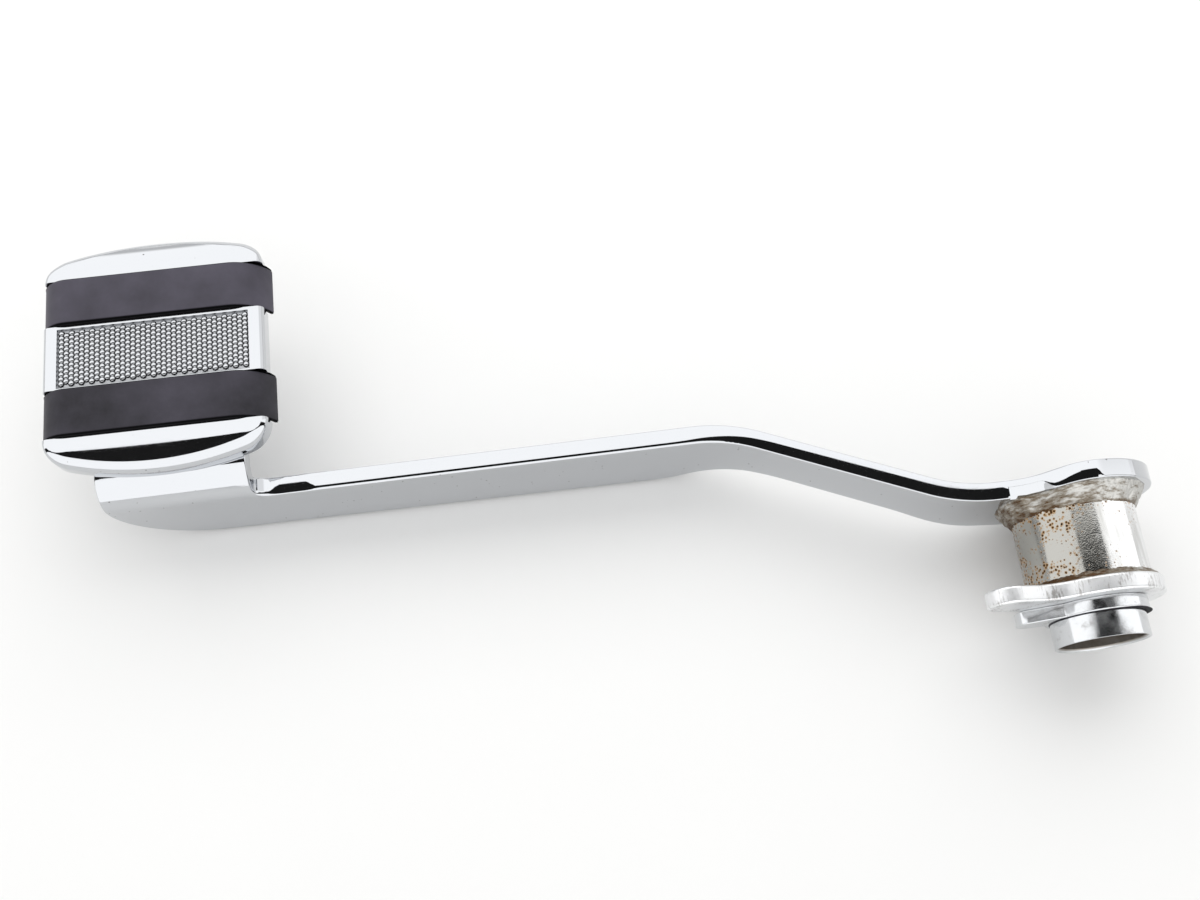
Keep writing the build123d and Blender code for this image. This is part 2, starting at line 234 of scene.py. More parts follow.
class Finishes(bpy.types.PropertyGroup):
    """Colours of the pedal's finishes and of the stage."""
    chrome: colour("Chrome", "#C4C6C9", "Polished chrome")
    # Its colour also paints dark specks on the chrome's faces that face -Y, a painted reflection of floor
    # marks
    pinhole_and_painted_reflection: colour("Pinholes", "#3C3733", "Pinholes and dirt in the chrome")
    plating: colour("Plating", "#A3A29D", "Plating on the hub")
    stain: colour("Stain", "#6B625A", "Tarnish on the dull plating")
    rust: colour("Rust", "#BE8A34", "Rust in the pits")
    dark_rust: colour("Dark rust", "#4C310E", "Rust in the deep pits")
    old_rust: colour("Old rust", "#241D18", "Black scale in the oldest pits")
    weld: colour("Weld", "#C2C1BD", "Weld metal under thin plating")
    soot: colour("Soot", "#6D5F4A", "Soot and rust on the welds")
    steel: colour("Steel", "#CFD1D3", "Bright steel")
    edge: colour("Edge", "#EBECED", "Plating on the blanked edges")
    # Deep black down the strips' sides is painted shade, and the lighter tops are scuffs with painted light
    rubber: colour("Rubber", "#08080A", "Black rubber")
    scuffed_rubber: colour("Scuffed rubber", "#504D58", "Rubber scuffed by boots")
    # Painted shade down in the knurl's valleys
    valley_shade: colour("Valley", "#16161A", "Dirt in the knurl's valleys")
    floor: colour("Floor", "#FBFBFA", "Plain pale floor")


class StageSizes(bpy.types.PropertyGroup):
    """Place of the camera and levels of the light."""
    eye: bpy.props.FloatVectorProperty(
        name="Camera", description="Place of the camera", default=(-0.137319, -0.085156, 0.338323),
        subtype="TRANSLATION", size=3, precision=5)
    ahead: bpy.props.FloatVectorProperty(
        name="Ahead", description="Way that the camera looks", default=(0.03677, 0.32124, -0.94628),
        subtype="DIRECTION", size=3, precision=5)
    up: bpy.props.FloatVectorProperty(
        name="Up", description="Way that is up in the picture", default=(0.11233, 0.93959, 0.32334),
        subtype="DIRECTION", size=3, precision=5)
    lens: bpy.props.FloatProperty(
        name="Lens", description="Focal length in millimetres on a 36 mm sensor", default=39.07,
        unit="CAMERA")
    floor_reach: length("Floor reach", 3000, "Half the width of the floor")
    lamp_long: length("Softbox length", 1400, "Length of the softbox")
    lamp_wide: length("Softbox width", 950, "Width of the softbox")
    lamp_place: bpy.props.FloatVectorProperty(
        name="Softbox place", description="Place of the softbox", default=(-0.12, 0.7, 0.82),
        subtype="TRANSLATION", size=3)
    lamp_aim: bpy.props.FloatVectorProperty(
        name="Softbox aim", description="Where the softbox points", default=(-0.12, 0.03, 0),
        subtype="TRANSLATION", size=3)
    softbox: bpy.props.FloatProperty(
        name="Softbox", description="Power of the softbox in watts", default=5.4, min=0, unit="POWER")
    fill: bpy.props.FloatProperty(
        name="Fill", description="Level of the light from all round", default=0.81, min=0)
    glare: bpy.props.FloatProperty(
        name="Glare", description="Level of the room that bright metal mirrors", default=1.62, min=0)


# Outlines

def arc(centre, radius, start, end):
    """Points of an arc from one angle to another."""
    count = max(2, math.ceil(abs(end - start) * radius / CHORD))
    turns = [start + (end - start) * i / count for i in range(count + 1)]
    return [centre + radius * Vector((math.cos(a), math.sin(a))) for a in turns]


def arc_between(centre, first, last, turn):
    """Points of the arc about a centre between two points, anticlockwise if turn is 1, clockwise if -1."""
    from_first, from_last = first - centre, last - centre
    start = math.atan2(from_first.y, from_first.x)
    sweep = (math.atan2(from_last.y, from_last.x) - start) * turn % math.tau
    return arc(centre, from_first.length, start, start + turn * sweep)


def rounded_corner(before, at, after, radius):
    """Points of the round that replaces one corner of an outline."""
    if radius == 0:
        return [at]
    back, ahead = (before - at).normalized(), (after - at).normalized()
    half = back.angle(ahead) / 2
    reach = radius / math.tan(half)
    centre = at + (back + ahead).normalized() * radius / math.sin(half)
    turn = math.copysign(1, ahead.cross(back))
    return arc_between(centre, at + back * reach, at + ahead * reach, turn)


def rounded_outline(corners):
    """A closed outline from corners (x, y, radius)."""
    ends = [Vector((x, y)) for x, y, _ in corners]
    count = len(corners)
    rounds = [
        rounded_corner(ends[i - 1], ends[i], ends[(i + 1) % count], corners[i][2]) for i in range(count)]
    return [point for part in rounds for point in part]


def flank_to_circle(start, direction, inwards, centre, circle_radius, radius, side):
    """A round between a straight flank and a circle: its centre and its ends on the flank and the circle.

    side is 1 for an outside corner and -1 for an inside corner.
    """
    offset = start + inwards * radius * side - centre
    along = offset.dot(direction)
    reach = circle_radius - side * radius
    travel = side * math.sqrt(along ** 2 - offset.length_squared + reach ** 2) - along
    round_centre = centre + offset + direction * travel
    return round_centre, start + direction * travel, centre + (round_centre - centre) * circle_radius / reach


def circle(centre, radius):
    """A hole's outline, clockwise."""
    return arc(centre, radius, math.tau, 0)[:-1]


def divided(outline, step):
    """A closed outline with no stretch longer than a step."""
    points = []
    for i, end in enumerate(outline):
        start = outline[i - 1]
        count = max(1, math.ceil((end - start).length / step))
        points += [start.lerp(end, k / count) for k in range(1, count + 1)]
    return points


def stopped(outline, places):
    """A closed outline with added points where it crosses the given x places."""
    points = []
    for i, end in enumerate(outline):
        start = outline[i - 1]
        crossed = [place for place in places if (start.x - place) * (end.x - place) < 0]
        shares = sorted((place - start.x) / (end.x - start.x) for place in crossed)
        points += [start.lerp(end, share) for share in shares]
        points.append(end)
    return points


def merged(outline):
    """A closed outline without doubled points."""
    return [p for i, p in enumerate(outline) if (p - outline[i - 1]).length > DOUBLED]


def inwards_at(outline, i):
    """The way into the material at a point of a closed outline, long enough to keep both edges parallel."""
    before, at, after = outline[i - 1], outline[i], outline[(i + 1) % len(outline)]
    first, second = (at - before).normalized(), (after - at).normalized()
    normals = Vector((-first.y, first.x)), Vector((-second.y, second.x))
    return (normals[0] + normals[1]) / (1 + normals[0].dot(normals[1]))


# Meshes

def round_edge(thickness, radius):
    """The edge of a plate between its broad faces, as (inset, depth) points with both rims rounded."""
    turns = [math.pi / 2 * k / ROUND_STEPS for k in range(ROUND_STEPS + 1)]
    near = [(radius * (1 - math.sin(a)), radius * (1 - math.cos(a))) for a in turns]
    return near + [(inset, thickness - depth) for inset, depth in reversed(near)]


def ring_faces(bm, rings):
    """Joins closed rings of vertices, each to the next, with quads."""
    for first, second in zip(rings, rings[1:]):
        for i in range(len(first)):
            bm.faces.new((first[i - 1], first[i], second[i], second[i - 1]))


def ring_edges(bm, ring):
    """The edges of a closed ring of vertices."""
    pairs = [(ring[i - 1], ring[i]) for i in range(len(ring))]
    return [bm.edges.get(pair) or bm.edges.new(pair) for pair in pairs]


def plate(loops):
    """A flat plate from closed loops (outline, edge), the outside first; edge gives (inset, depth) points.

    Lies in the XY plane with its depth along Z, so that it can be cut and bent afterwards.
    """
    bm = bmesh.new()
    near, far = [], []
    for outline, edge in loops:
        ways = [inwards_at(outline, i) for i in range(len(outline))]
        edges = [edge(point) for point in outline]
        rings = []
        for k in range(len(edges[0])):
            ring = [p + way * e[k][0] for p, way, e in zip(outline, ways, edges)]
            rings.append([bm.verts.new((p.x, p.y, e[k][1])) for p, e in zip(ring, edges)])
        ring_faces(bm, rings)
        near += ring_edges(bm, rings[0])
        far += ring_edges(bm, rings[-1])
    for rim in (near, far):
        bmesh.ops.triangle_fill(bm, use_beauty=True, use_dissolve=False, edges=rim)
    return bm


def cut(bm, axis, places, reach=math.inf):
    """Cuts a mesh across an axis so that it can bend there; faces past a reach in X stay whole."""
    normal = Vector((axis == "X", axis == "Y", axis == "Z"))
    for place in places:
        faces = [face for face in bm.faces if min(vertex.co.x for vertex in face.verts) < reach]
        edges = dict.fromkeys(edge for face in faces for edge in face.edges)
        corners = dict.fromkeys(vertex for face in faces for vertex in face.verts)
        bmesh.ops.bisect_plane(
            bm, geom=[*corners, *edges, *faces], dist=TOUCHING, plane_co=normal * place, plane_no=normal)


def spread(first, last, step):
    """Evenly spaced values from one to another, no further apart than a step."""
    count = max(1, math.ceil(abs(last - first) / step))
    return [first + (last - first) * i / count for i in range(count + 1)]


def placed(bm, place):
    """Moves every vertex of a mesh to where a function puts it."""
    for vertex in bm.verts:
        vertex.co = place(vertex.co)
    return bm


def turned(section, steps, form=None):
    """A ring about the pivot axis from a closed section of (radius, y) points, which form may reshape."""
    bm = bmesh.new()
    rings = []
    for i in range(steps):
        a = math.tau * i / steps
        points = [form(p, a) if form else p for p in section]
        rings.append([bm.verts.new((p.x * math.cos(a), p.y, p.x * math.sin(a))) for p in points])
    ring_faces(bm, rings + rings[:1])
    return bm


def mesh_of(name, bm):
    """A closed mesh with its faces turned outwards."""
    bmesh.ops.remove_doubles(bm, verts=bm.verts, dist=TOUCHING)
    bmesh.ops.recalc_face_normals(bm, faces=bm.faces)
    if bm.calc_volume(signed=True) < 0:
        bmesh.ops.reverse_faces(bm, faces=bm.faces)
    mesh = bpy.data.meshes.new(name)
    bm.to_mesh(mesh)
    bm.free()
    return mesh


def finished(name, bm, material, nodes, crease=40):
    """A finished piece that stands for CAD nodes."""
    return dressed(name, mesh_of(name, bm), material, nodes, crease)


def dressed(name, mesh, material, nodes, crease=40):
    """Gives a mesh its smooth shading, material and place in the frame."""
    mesh.polygons.foreach_set("use_smooth", [True] * len(mesh.polygons))
    mesh.set_sharp_from_angle(angle=math.radians(crease))
    mesh.materials.clear()
    mesh.materials.append(material)
    obj = bpy.data.objects.new(name, mesh)
    bpy.context.scene.collection.objects.link(obj)
    flats = obj.modifiers.new("Flat faces stay flat", "WEIGHTED_NORMAL")
    flats.keep_sharp = True
    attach(obj, "root")
    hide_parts(*nodes)
    return obj


def rise_and_fall(value, start, end, rise, fall):
    """1 between start and end, with a soft rise after the start and a soft fall before the end."""
    return smooth_step(value, start, start + rise) * (1 - smooth_step(value, end - fall, end))


def smooth_step(value, low, high):
    """0 below low, 1 above high and a soft rise between."""
    t = min(1, max(0, (value - low) / (high - low)))
    return t * t * (3 - 2 * t)


# Materials

def add_node(tree, kind, inputs=None, **settings):
    """Adds a node with its settings and links; an input takes a value, a socket or a node's first output."""
    node = tree.nodes.new(kind)
    for key, value in settings.items():
        setattr(node, key, value)
    for key, value in (inputs or {}).items():
        if isinstance(value, bpy.types.Node):
            value = next(socket for socket in value.outputs if socket.enabled)
        if isinstance(value, bpy.types.NodeSocket):
            tree.links.new(value, node.inputs[key])
        else:
            node.inputs[key].default_value = value
    return node


def new_material(name):
    """An empty material, its node tree and its Object coordinates."""
    material = bpy.data.materials.get(name) or bpy.data.materials.new(name)
    material.use_nodes = True
    tree = material.node_tree
    tree.nodes.clear()
    return material, tree, add_node(tree, "ShaderNodeTexCoord").outputs["Object"]


def rgba(value):
    """A colour property as four numbers."""
    return (*value, 1)


def per(millimetres):
    """The texture scale that gives features of a real size."""
    return 1 / (millimetres * MM)


def polished_chrome():
    """Hard chrome over polished steel: a bright mirror, broken by hairline scuffs, a few dark pinholes and,
    on faces that face -Y, dark specks of painted reflection.
    """
    finish = bpy.context.scene.pedal_finishes
    material, tree, place = new_material("Polished chrome")
    # Real hairlines would be too fine to show, so the scuffs are drawn coarser
    upright = add_node(tree, "ShaderNodeMapping", {"Vector": place, "Scale": (1, 1, 0.08)})
    scuff = add_node(
        tree, "ShaderNodeTexNoise", {"Vector": upright, "Scale": per(1.1), "Detail": 5, "Roughness": 0.7})
    haze = add_node(tree, "ShaderNodeTexNoise", {"Vector": place, "Scale": per(14), "Detail": 3})
    dull = add_node(tree, "ShaderNodeMath", {0: scuff, 1: haze}, operation="MULTIPLY")
    rough = add_node(
        tree, "ShaderNodeMapRange",
        {"Value": dull, "From Min": 0.18, "From Max": 0.5, "To Min": 0.03, "To Max": 0.13})
    cells = add_node(tree, "ShaderNodeTexVoronoi", {"Vector": place, "Scale": per(2.6)})
    spare = add_node(tree, "ShaderNodeTexNoise", {"Vector": place, "Scale": per(6), "Detail": 2})
    # Faces that face -Y get more dark specks: a painted reflection of floor marks, on top of the pinholes
    facing = add_node(tree, "ShaderNodeTexCoord").outputs["Normal"]
    across = add_node(tree, "ShaderNodeSeparateXYZ", {"Vector": facing})
    inboard = add_node(
        tree, "ShaderNodeMapRange",
        {"Value": across.outputs["Y"], "From Min": -0.6, "From Max": -0.95, "To Max": 0.14})
    crowd = add_node(tree, "ShaderNodeMath", {0: spare, 1: inboard}, operation="ADD")
    size = add_node(
        tree, "ShaderNodeMapRange",
        {"Value": crowd, "From Min": 0.5, "From Max": 0.72, "To Min": 0, "To Max": 0.085})
    pinhole_and_painted_reflection = add_node(tree, "ShaderNodeMath", {0: cells, 1: size}, operation="LESS_THAN")
    tint = add_node(
        tree, "ShaderNodeMix",
        {"Factor": pinhole_and_painted_reflection, "A": rgba(finish.chrome), "B": rgba(finish.pinhole_and_painted_reflection)}, data_type="RGBA")
    bump = add_node(tree, "ShaderNodeBump", {"Height": scuff, "Strength": 0.04, "Distance": 0.02 * MM})
    shader = add_node(
        tree, "ShaderNodeBsdfPrincipled",
        {"Base Color": tint, "Roughness": rough, "Normal": bump, "Metallic": 1})
    add_node(tree, "ShaderNodeOutputMaterial", {"Surface": shader})
    return material


def worn_plating():
    """Thin plating on mild steel: pale and fairly bright, with rusty pits that crowd near the welds."""
    finish = bpy.context.scene.pedal_finishes
    material, tree, place = new_material("Pitted plating")
    patch = add_node(
        tree, "ShaderNodeTexNoise", {"Vector": place, "Scale": per(6), "Detail": 4, "Roughness": 0.6})
    where = add_node(tree, "ShaderNodeSeparateXYZ", {"Vector": place})
    # Rust crowds beside both welds and on the front of the tube
    near_arm = add_node(
        tree, "ShaderNodeMapRange",
        {"Value": where.outputs["Y"], "From Min": -11 * MM, "From Max": -5 * MM, "To Max": 0.2})
    near_plate = add_node(
        tree, "ShaderNodeMapRange",
        {"Value": where.outputs["Y"], "From Min": -17 * MM, "From Max": -23 * MM, "To Max": 0.14})
    in_front = add_node(
        tree, "ShaderNodeMapRange",
        {"Value": where.outputs["X"], "From Min": 4 * MM, "From Max": -10 * MM, "To Min": -0.12,
         "To Max": 0.06})
    welds = add_node(tree, "ShaderNodeMath", {0: near_arm, 1: near_plate}, operation="ADD")
    wet = add_node(tree, "ShaderNodeMath", {0: welds, 1: in_front}, operation="ADD")
    crowd = add_node(tree, "ShaderNodeMath", {0: patch, 1: wet}, operation="ADD")
    # Ragged pits, each with a brown halo where rust crowds
    dots = add_node(tree, "ShaderNodeTexVoronoi", {"Vector": place, "Scale": per(0.95)})
    size = add_node(
        tree, "ShaderNodeMapRange",
        {"Value": crowd, "From Min": 0.36, "From Max": 0.8, "To Min": 0.08, "To Max": 0.54})
    grain = add_node(tree, "ShaderNodeTexNoise", {"Vector": place, "Scale": per(0.35), "Detail": 3})
    ragged = add_node(tree, "ShaderNodeMath", {0: grain, 1: 0.35, 2: dots}, operation="MULTIPLY_ADD")
    inside = add_node(tree, "ShaderNodeMath", {0: size, 1: ragged}, operation="SUBTRACT")
    pit = add_node(tree, "ShaderNodeMapRange", {"Value": inside, "From Min": -0.06, "From Max": -0.02})
    halo = add_node(
        tree, "ShaderNodeMapRange",
        {"Value": inside, "From Min": -0.3, "From Max": -0.02, "To Min": 0, "To Max": 0.8})
    stain = add_node(
        tree, "ShaderNodeMapRange",
        {"Value": crowd, "From Min": 0.45, "From Max": 0.7, "To Min": 0, "To Max": 1})
    tinge = add_node(tree, "ShaderNodeMath", {0: halo, 1: stain}, operation="MULTIPLY")
    # Lighter streaks of the paler edge plating towards the rear, under the halos and the pits: painted
    # highlight bands
    streak = add_node(tree, "ShaderNodeMapping", {"Vector": place, "Scale": (1, 0.15, 1)})
    streaks = add_node(tree, "ShaderNodeTexNoise", {"Vector": streak, "Scale": per(1.6), "Detail": 4})
    behind = add_node(
        tree, "ShaderNodeMapRange",
        {"Value": where.outputs["X"], "From Min": -2 * MM, "From Max": 3 * MM, "To Max": 1.4})
    painted_highlight_streaks = add_node(tree, "ShaderNodeMath", {0: streaks, 1: behind}, operation="MULTIPLY")
    clean = add_node(
        tree, "ShaderNodeMix",
        {"Factor": painted_highlight_streaks, "A": rgba(finish.plating), "B": rgba(finish.edge)}, data_type="RGBA")
    browned = add_node(
        tree, "ShaderNodeMix", {"Factor": tinge, "A": clean, "B": rgba(finish.rust)}, data_type="RGBA")
    age = add_node(tree, "ShaderNodeSeparateColor", {"Color": dots.outputs["Color"]})
    scale = add_node(
        tree, "ShaderNodeMix",
        {"Factor": age, "A": rgba(finish.dark_rust), "B": rgba(finish.old_rust)}, data_type="RGBA")
    pitted = add_node(tree, "ShaderNodeMix", {"Factor": pit, "A": browned, "B": scale}, data_type="RGBA")
    # Rust is rough and hardly metal
    corroded = add_node(tree, "ShaderNodeMath", {0: pit, 1: tinge}, operation="MAXIMUM")
    metal = add_node(tree, "ShaderNodeMapRange", {"Value": corroded, "To Min": 1, "To Max": 0.1})
    polish = add_node(
        tree, "ShaderNodeMapRange",
        {"Value": patch, "From Min": 0.35, "From Max": 0.7, "To Min": 0.06, "To Max": 0.16})
    rough = add_node(tree, "ShaderNodeMath", {0: polish, 1: corroded}, operation="MAXIMUM")
    sunk = add_node(tree, "ShaderNodeMath", {0: grain, 1: pit}, operation="SUBTRACT")
    bump = add_node(tree, "ShaderNodeBump", {"Height": sunk, "Strength": 0.28, "Distance": 0.04 * MM})
    shader = add_node(
        tree, "ShaderNodeBsdfPrincipled",
        {"Base Color": pitted, "Metallic": metal, "Roughness": rough, "Normal": bump})
    add_node(tree, "ShaderNodeOutputMaterial", {"Surface": shader})
    return material


def sheared_steel():
    """Plated edge of a blanked plate: pale and satin, with short stained shear lines across its thickness."""
    finish = bpy.context.scene.pedal_finishes
    material, tree, place = new_material("Sheared plated steel")
    drawn = add_node(tree, "ShaderNodeMapping", {"Vector": place, "Scale": (1, 0.2, 1)})
    lines = add_node(
        tree, "ShaderNodeTexNoise", {"Vector": drawn, "Scale": per(0.55), "Detail": 4, "Roughness": 0.75})
    patch = add_node(tree, "ShaderNodeTexNoise", {"Vector": place, "Scale": per(5), "Detail": 4})
    torn = add_node(tree, "ShaderNodeMath", {0: lines, 1: patch}, operation="MULTIPLY")
    share = add_node(
        tree, "ShaderNodeMapRange",
        {"Value": torn, "From Min": 0.27, "From Max": 0.38, "To Min": 0, "To Max": 0.6})
    tint = add_node(
        tree, "ShaderNodeMix",
        {"Factor": share, "A": rgba(finish.edge), "B": rgba(finish.stain)}, data_type="RGBA")
    bump = add_node(tree, "ShaderNodeBump", {"Height": lines, "Strength": 0.5, "Distance": 0.12 * MM})
    shader = add_node(
        tree, "ShaderNodeBsdfPrincipled",
        {"Base Color": tint, "Normal": bump, "Metallic": 1, "Roughness": 0.3})
    add_node(tree, "ShaderNodeOutputMaterial", {"Surface": shader})
    return material


def weld_metal():
    """Weld metal under thin plating: rough grey-tan that catches the light, brown along its toes and to the
    front, painted lighter to the rear as a painted highlight.
    """
    finish = bpy.context.scene.pedal_finishes
    material, tree, place = new_material("Plated weld metal")
    drawn = add_node(tree, "ShaderNodeMapping", {"Vector": place, "Scale": (0.3, 1, 0.3)})
    lumps = add_node(
        tree, "ShaderNodeTexNoise", {"Vector": drawn, "Scale": per(1.2), "Detail": 6, "Roughness": 0.7})
    where = add_node(tree, "ShaderNodeSeparateXYZ", {"Vector": place})
    toe = add_node(
        tree, "ShaderNodeMapRange",
        {"Value": where.outputs["Y"], "From Min": -3.2 * MM, "From Max": -4.8 * MM, "To Max": 0.14})
    # Soot thickens to the front; its thinning to the rear is a painted highlight
    front = add_node(
        tree, "ShaderNodeMapRange",
        {"Value": where.outputs["X"], "From Min": 12 * MM, "From Max": -16 * MM, "To Min": -0.07,
         "To Max": 0.1})
    dirt = add_node(tree, "ShaderNodeMath", {0: toe, 1: front}, operation="ADD")
    soot_and_painted_rear_highlight = add_node(tree, "ShaderNodeMath", {0: lumps, 1: dirt}, operation="ADD")
    share = add_node(
        tree, "ShaderNodeMapRange", {"Value": soot_and_painted_rear_highlight, "From Min": 0.46, "From Max": 0.6, "To Max": 0.85})
    deep = add_node(tree, "ShaderNodeMapRange", {"Value": soot_and_painted_rear_highlight, "From Min": 0.63, "From Max": 0.72})
    rusted = add_node(
        tree, "ShaderNodeMix",
        {"Factor": share, "A": rgba(finish.weld), "B": rgba(finish.soot)}, data_type="RGBA")
    darkened = add_node(
        tree, "ShaderNodeMix",
        {"Factor": deep, "A": rusted, "B": rgba(finish.dark_rust)}, data_type="RGBA")
    metal = add_node(tree, "ShaderNodeMapRange", {"Value": share, "To Min": 0.95, "To Max": 0.35})
    bump = add_node(tree, "ShaderNodeBump", {"Height": lumps, "Strength": 0.6, "Distance": 0.35 * MM})
    shader = add_node(
        tree, "ShaderNodeBsdfPrincipled",
        {"Base Color": darkened, "Metallic": metal, "Normal": bump, "Roughness": 0.38})
    add_node(tree, "ShaderNodeOutputMaterial", {"Surface": shader})
    return material


def bright_steel():
    """Turned and plated steel: bright with a little staining, and rust-brown inside the pivot bore."""
    finish = bpy.context.scene.pedal_finishes
    material, tree, place = new_material("Bright steel")
    patch = add_node(
        tree, "ShaderNodeTexNoise", {"Vector": place, "Scale": per(4), "Detail": 5, "Roughness": 0.7})
    share = add_node(
        tree, "ShaderNodeMapRange",
        {"Value": patch, "From Min": 0.55, "From Max": 0.8, "To Min": 0, "To Max": 0.6})
    tint = add_node(
        tree, "ShaderNodeMix",
        {"Factor": share, "A": rgba(finish.steel), "B": rgba(finish.stain)}, data_type="RGBA")
    flat = add_node(tree, "ShaderNodeVectorMath", {0: place, 1: (1, 0, 1)}, operation="MULTIPLY")
    radius = add_node(tree, "ShaderNodeVectorMath", {0: flat}, operation="LENGTH")
    wall = bpy.context.scene.pedal_hub.bore_radius
    inside = add_node(
        tree, "ShaderNodeMapRange",
        {"Value": radius, "From Min": wall + 0.5 * MM, "From Max": wall + 0.1 * MM})
    browned = add_node(
        tree, "ShaderNodeMix",
        {"Factor": patch, "A": rgba(finish.plating), "B": rgba(finish.dark_rust)}, data_type="RGBA")
    bore = add_node(tree, "ShaderNodeMix", {"Factor": inside, "A": tint, "B": browned}, data_type="RGBA")
    metal = add_node(tree, "ShaderNodeMapRange", {"Value": inside, "To Min": 1, "To Max": 0.7})
    polish = add_node(
        tree, "ShaderNodeMapRange",
        {"Value": patch, "From Min": 0.35, "From Max": 0.75, "To Min": 0.09, "To Max": 0.22})
    dull = add_node(tree, "ShaderNodeMath", {0: inside, 1: 0.4}, operation="MULTIPLY")
    rough = add_node(tree, "ShaderNodeMath", {0: polish, 1: dull}, operation="MAXIMUM")
    bump = add_node(tree, "ShaderNodeBump", {"Height": patch, "Strength": 0.1, "Distance": 0.05 * MM})
    shader = add_node(
        tree, "ShaderNodeBsdfPrincipled",
        {"Base Color": bore, "Metallic": metal, "Roughness": rough, "Normal": bump})
    add_node(tree, "ShaderNodeOutputMaterial", {"Surface": shader})
    return material


def black_rubber():
    """Moulded rubber: satin grey-black on its faces that face up, from scuffs and painted light, and deep
    black down its sides as painted shade.
    """
    finish = bpy.context.scene.pedal_finishes
    material, tree, place = new_material("Moulded black rubber")
    # Faces that face up get the lighter, worn colour, partly painted light, and faces that face along Y get
    # deep black as painted shade; the sheen follows the same faces
    facing = add_node(tree, "ShaderNodeTexCoord").outputs["Normal"]
    across = add_node(tree, "ShaderNodeSeparateXYZ", {"Vector": facing})
    side = add_node(tree, "ShaderNodeMath", {0: across.outputs["Y"]}, operation="ABSOLUTE")
    scuffed_and_lit_top = add_node(
        tree, "ShaderNodeMapRange",
        {"Value": side, "From Min": 0.25, "From Max": 0.6, "To Min": 1, "To Max": 0})
    dust = add_node(
        tree, "ShaderNodeTexNoise", {"Vector": place, "Scale": per(22), "Detail": 5, "Roughness": 0.6})
    where = add_node(tree, "ShaderNodeSeparateXYZ", {"Vector": place})
    trodden = add_node(
        tree, "ShaderNodeMapRange",
        {"Value": where.outputs["Y"], "From Min": STRIP_HIGH.y, "From Max": FAR_STRIP_LOW.y,
         "To Max": 0.35})
    worn = add_node(tree, "ShaderNodeMath", {0: dust, 1: trodden}, operation="ADD")
    patchy = add_node(tree, "ShaderNodeMapRange", {"Value": worn, "From Min": 0.24, "From Max": 0.94})
    share = add_node(tree, "ShaderNodeMath", {0: scuffed_and_lit_top, 1: patchy}, operation="MULTIPLY")
    tint = add_node(
        tree, "ShaderNodeMix",
        {"Factor": share, "A": rgba(finish.rubber), "B": rgba(finish.scuffed_rubber)}, data_type="RGBA")
    sheen = add_node(tree, "ShaderNodeMapRange", {"Value": scuffed_and_lit_top, "To Min": 0.03, "To Max": 0.26})
    # The mould's grain would be too fine to show, so it is drawn coarser
    grain = add_node(tree, "ShaderNodeTexNoise", {"Vector": place, "Scale": per(0.35), "Detail": 3})
    bump = add_node(tree, "ShaderNodeBump", {"Height": grain, "Strength": 0.25, "Distance": 0.03 * MM})
    shader = add_node(
        tree, "ShaderNodeBsdfPrincipled",
        {"Base Color": tint, "Specular IOR Level": sheen, "Normal": bump, "Roughness": 0.5})
    add_node(tree, "ShaderNodeOutputMaterial", {"Surface": shader})
    return material


# Shares of the knurl's height: where the valleys' painted shade starts and ends giving way on the points, and
# on the plain border round them
POINT_UNSHADED = (0.57, 0.88)
BORDER_UNSHADED = (0.06, 0.02)


def knurled_plate():
    """Knurled and plated steel: bright points with painted shade down in the valleys."""
    finish = bpy.context.scene.pedal_finishes
    sizes = bpy.context.scene.pedal_pad
    material, tree, place = new_material("Knurled plated steel")
    height = add_node(tree, "ShaderNodeSeparateXYZ", {"Vector": place})
    valley_z = TREAD_HIGH.z - sizes.knurl_height
    point_start, point_end = [valley_z + share * sizes.knurl_height for share in POINT_UNSHADED]
    border_start, border_end = [valley_z + share * sizes.knurl_height for share in BORDER_UNSHADED]
    # Below the points, down in the valleys, the plate is painted dark as painted shade
    clean = add_node(
        tree, "ShaderNodeMapRange",
        {"Value": height.outputs["Z"], "From Min": point_start, "From Max": point_end})
    plain = add_node(
        tree, "ShaderNodeMapRange",
        {"Value": height.outputs["Z"], "From Min": border_start, "From Max": border_end, "To Max": 0.8})
    bright = add_node(tree, "ShaderNodeMath", {0: clean, 1: plain}, operation="MAXIMUM")
    tint = add_node(
        tree, "ShaderNodeMix",
        {"Factor": bright, "A": rgba(finish.valley_shade), "B": rgba(finish.chrome)}, data_type="RGBA")
    rough = add_node(tree, "ShaderNodeMapRange", {"Value": clean, "To Min": 0.45, "To Max": 0.12})
    shader = add_node(
        tree, "ShaderNodeBsdfPrincipled", {"Base Color": tint, "Roughness": rough, "Metallic": 1})
    add_node(tree, "ShaderNodeOutputMaterial", {"Surface": shader})
    return material


# Lever

# Sections that hand polishing has ground into the lever's near rim, as (inset, depth) in millimetres
JOGGLE_FACET = [(0.66, 0), (0.52, 0.05), (0.43, 0.14), (0.37, 0.3), (0.18, 1.25), (0.05, 2.3), (0.0, 3.2)]
FLANK_FACET = [(0.6, 0), (0.47, 0.04), (0.38, 0.12), (0.3, 0.25), (0.16, 1.1), (0.04, 1.9), (0.0, 2.6)]
DISH = [(1.5, 0), (1.2, 0.35), (0.9, 0.85), (0.6, 1.45), (0.3, 2.2), (0.02, 3.05), (0.0, 3.1)]


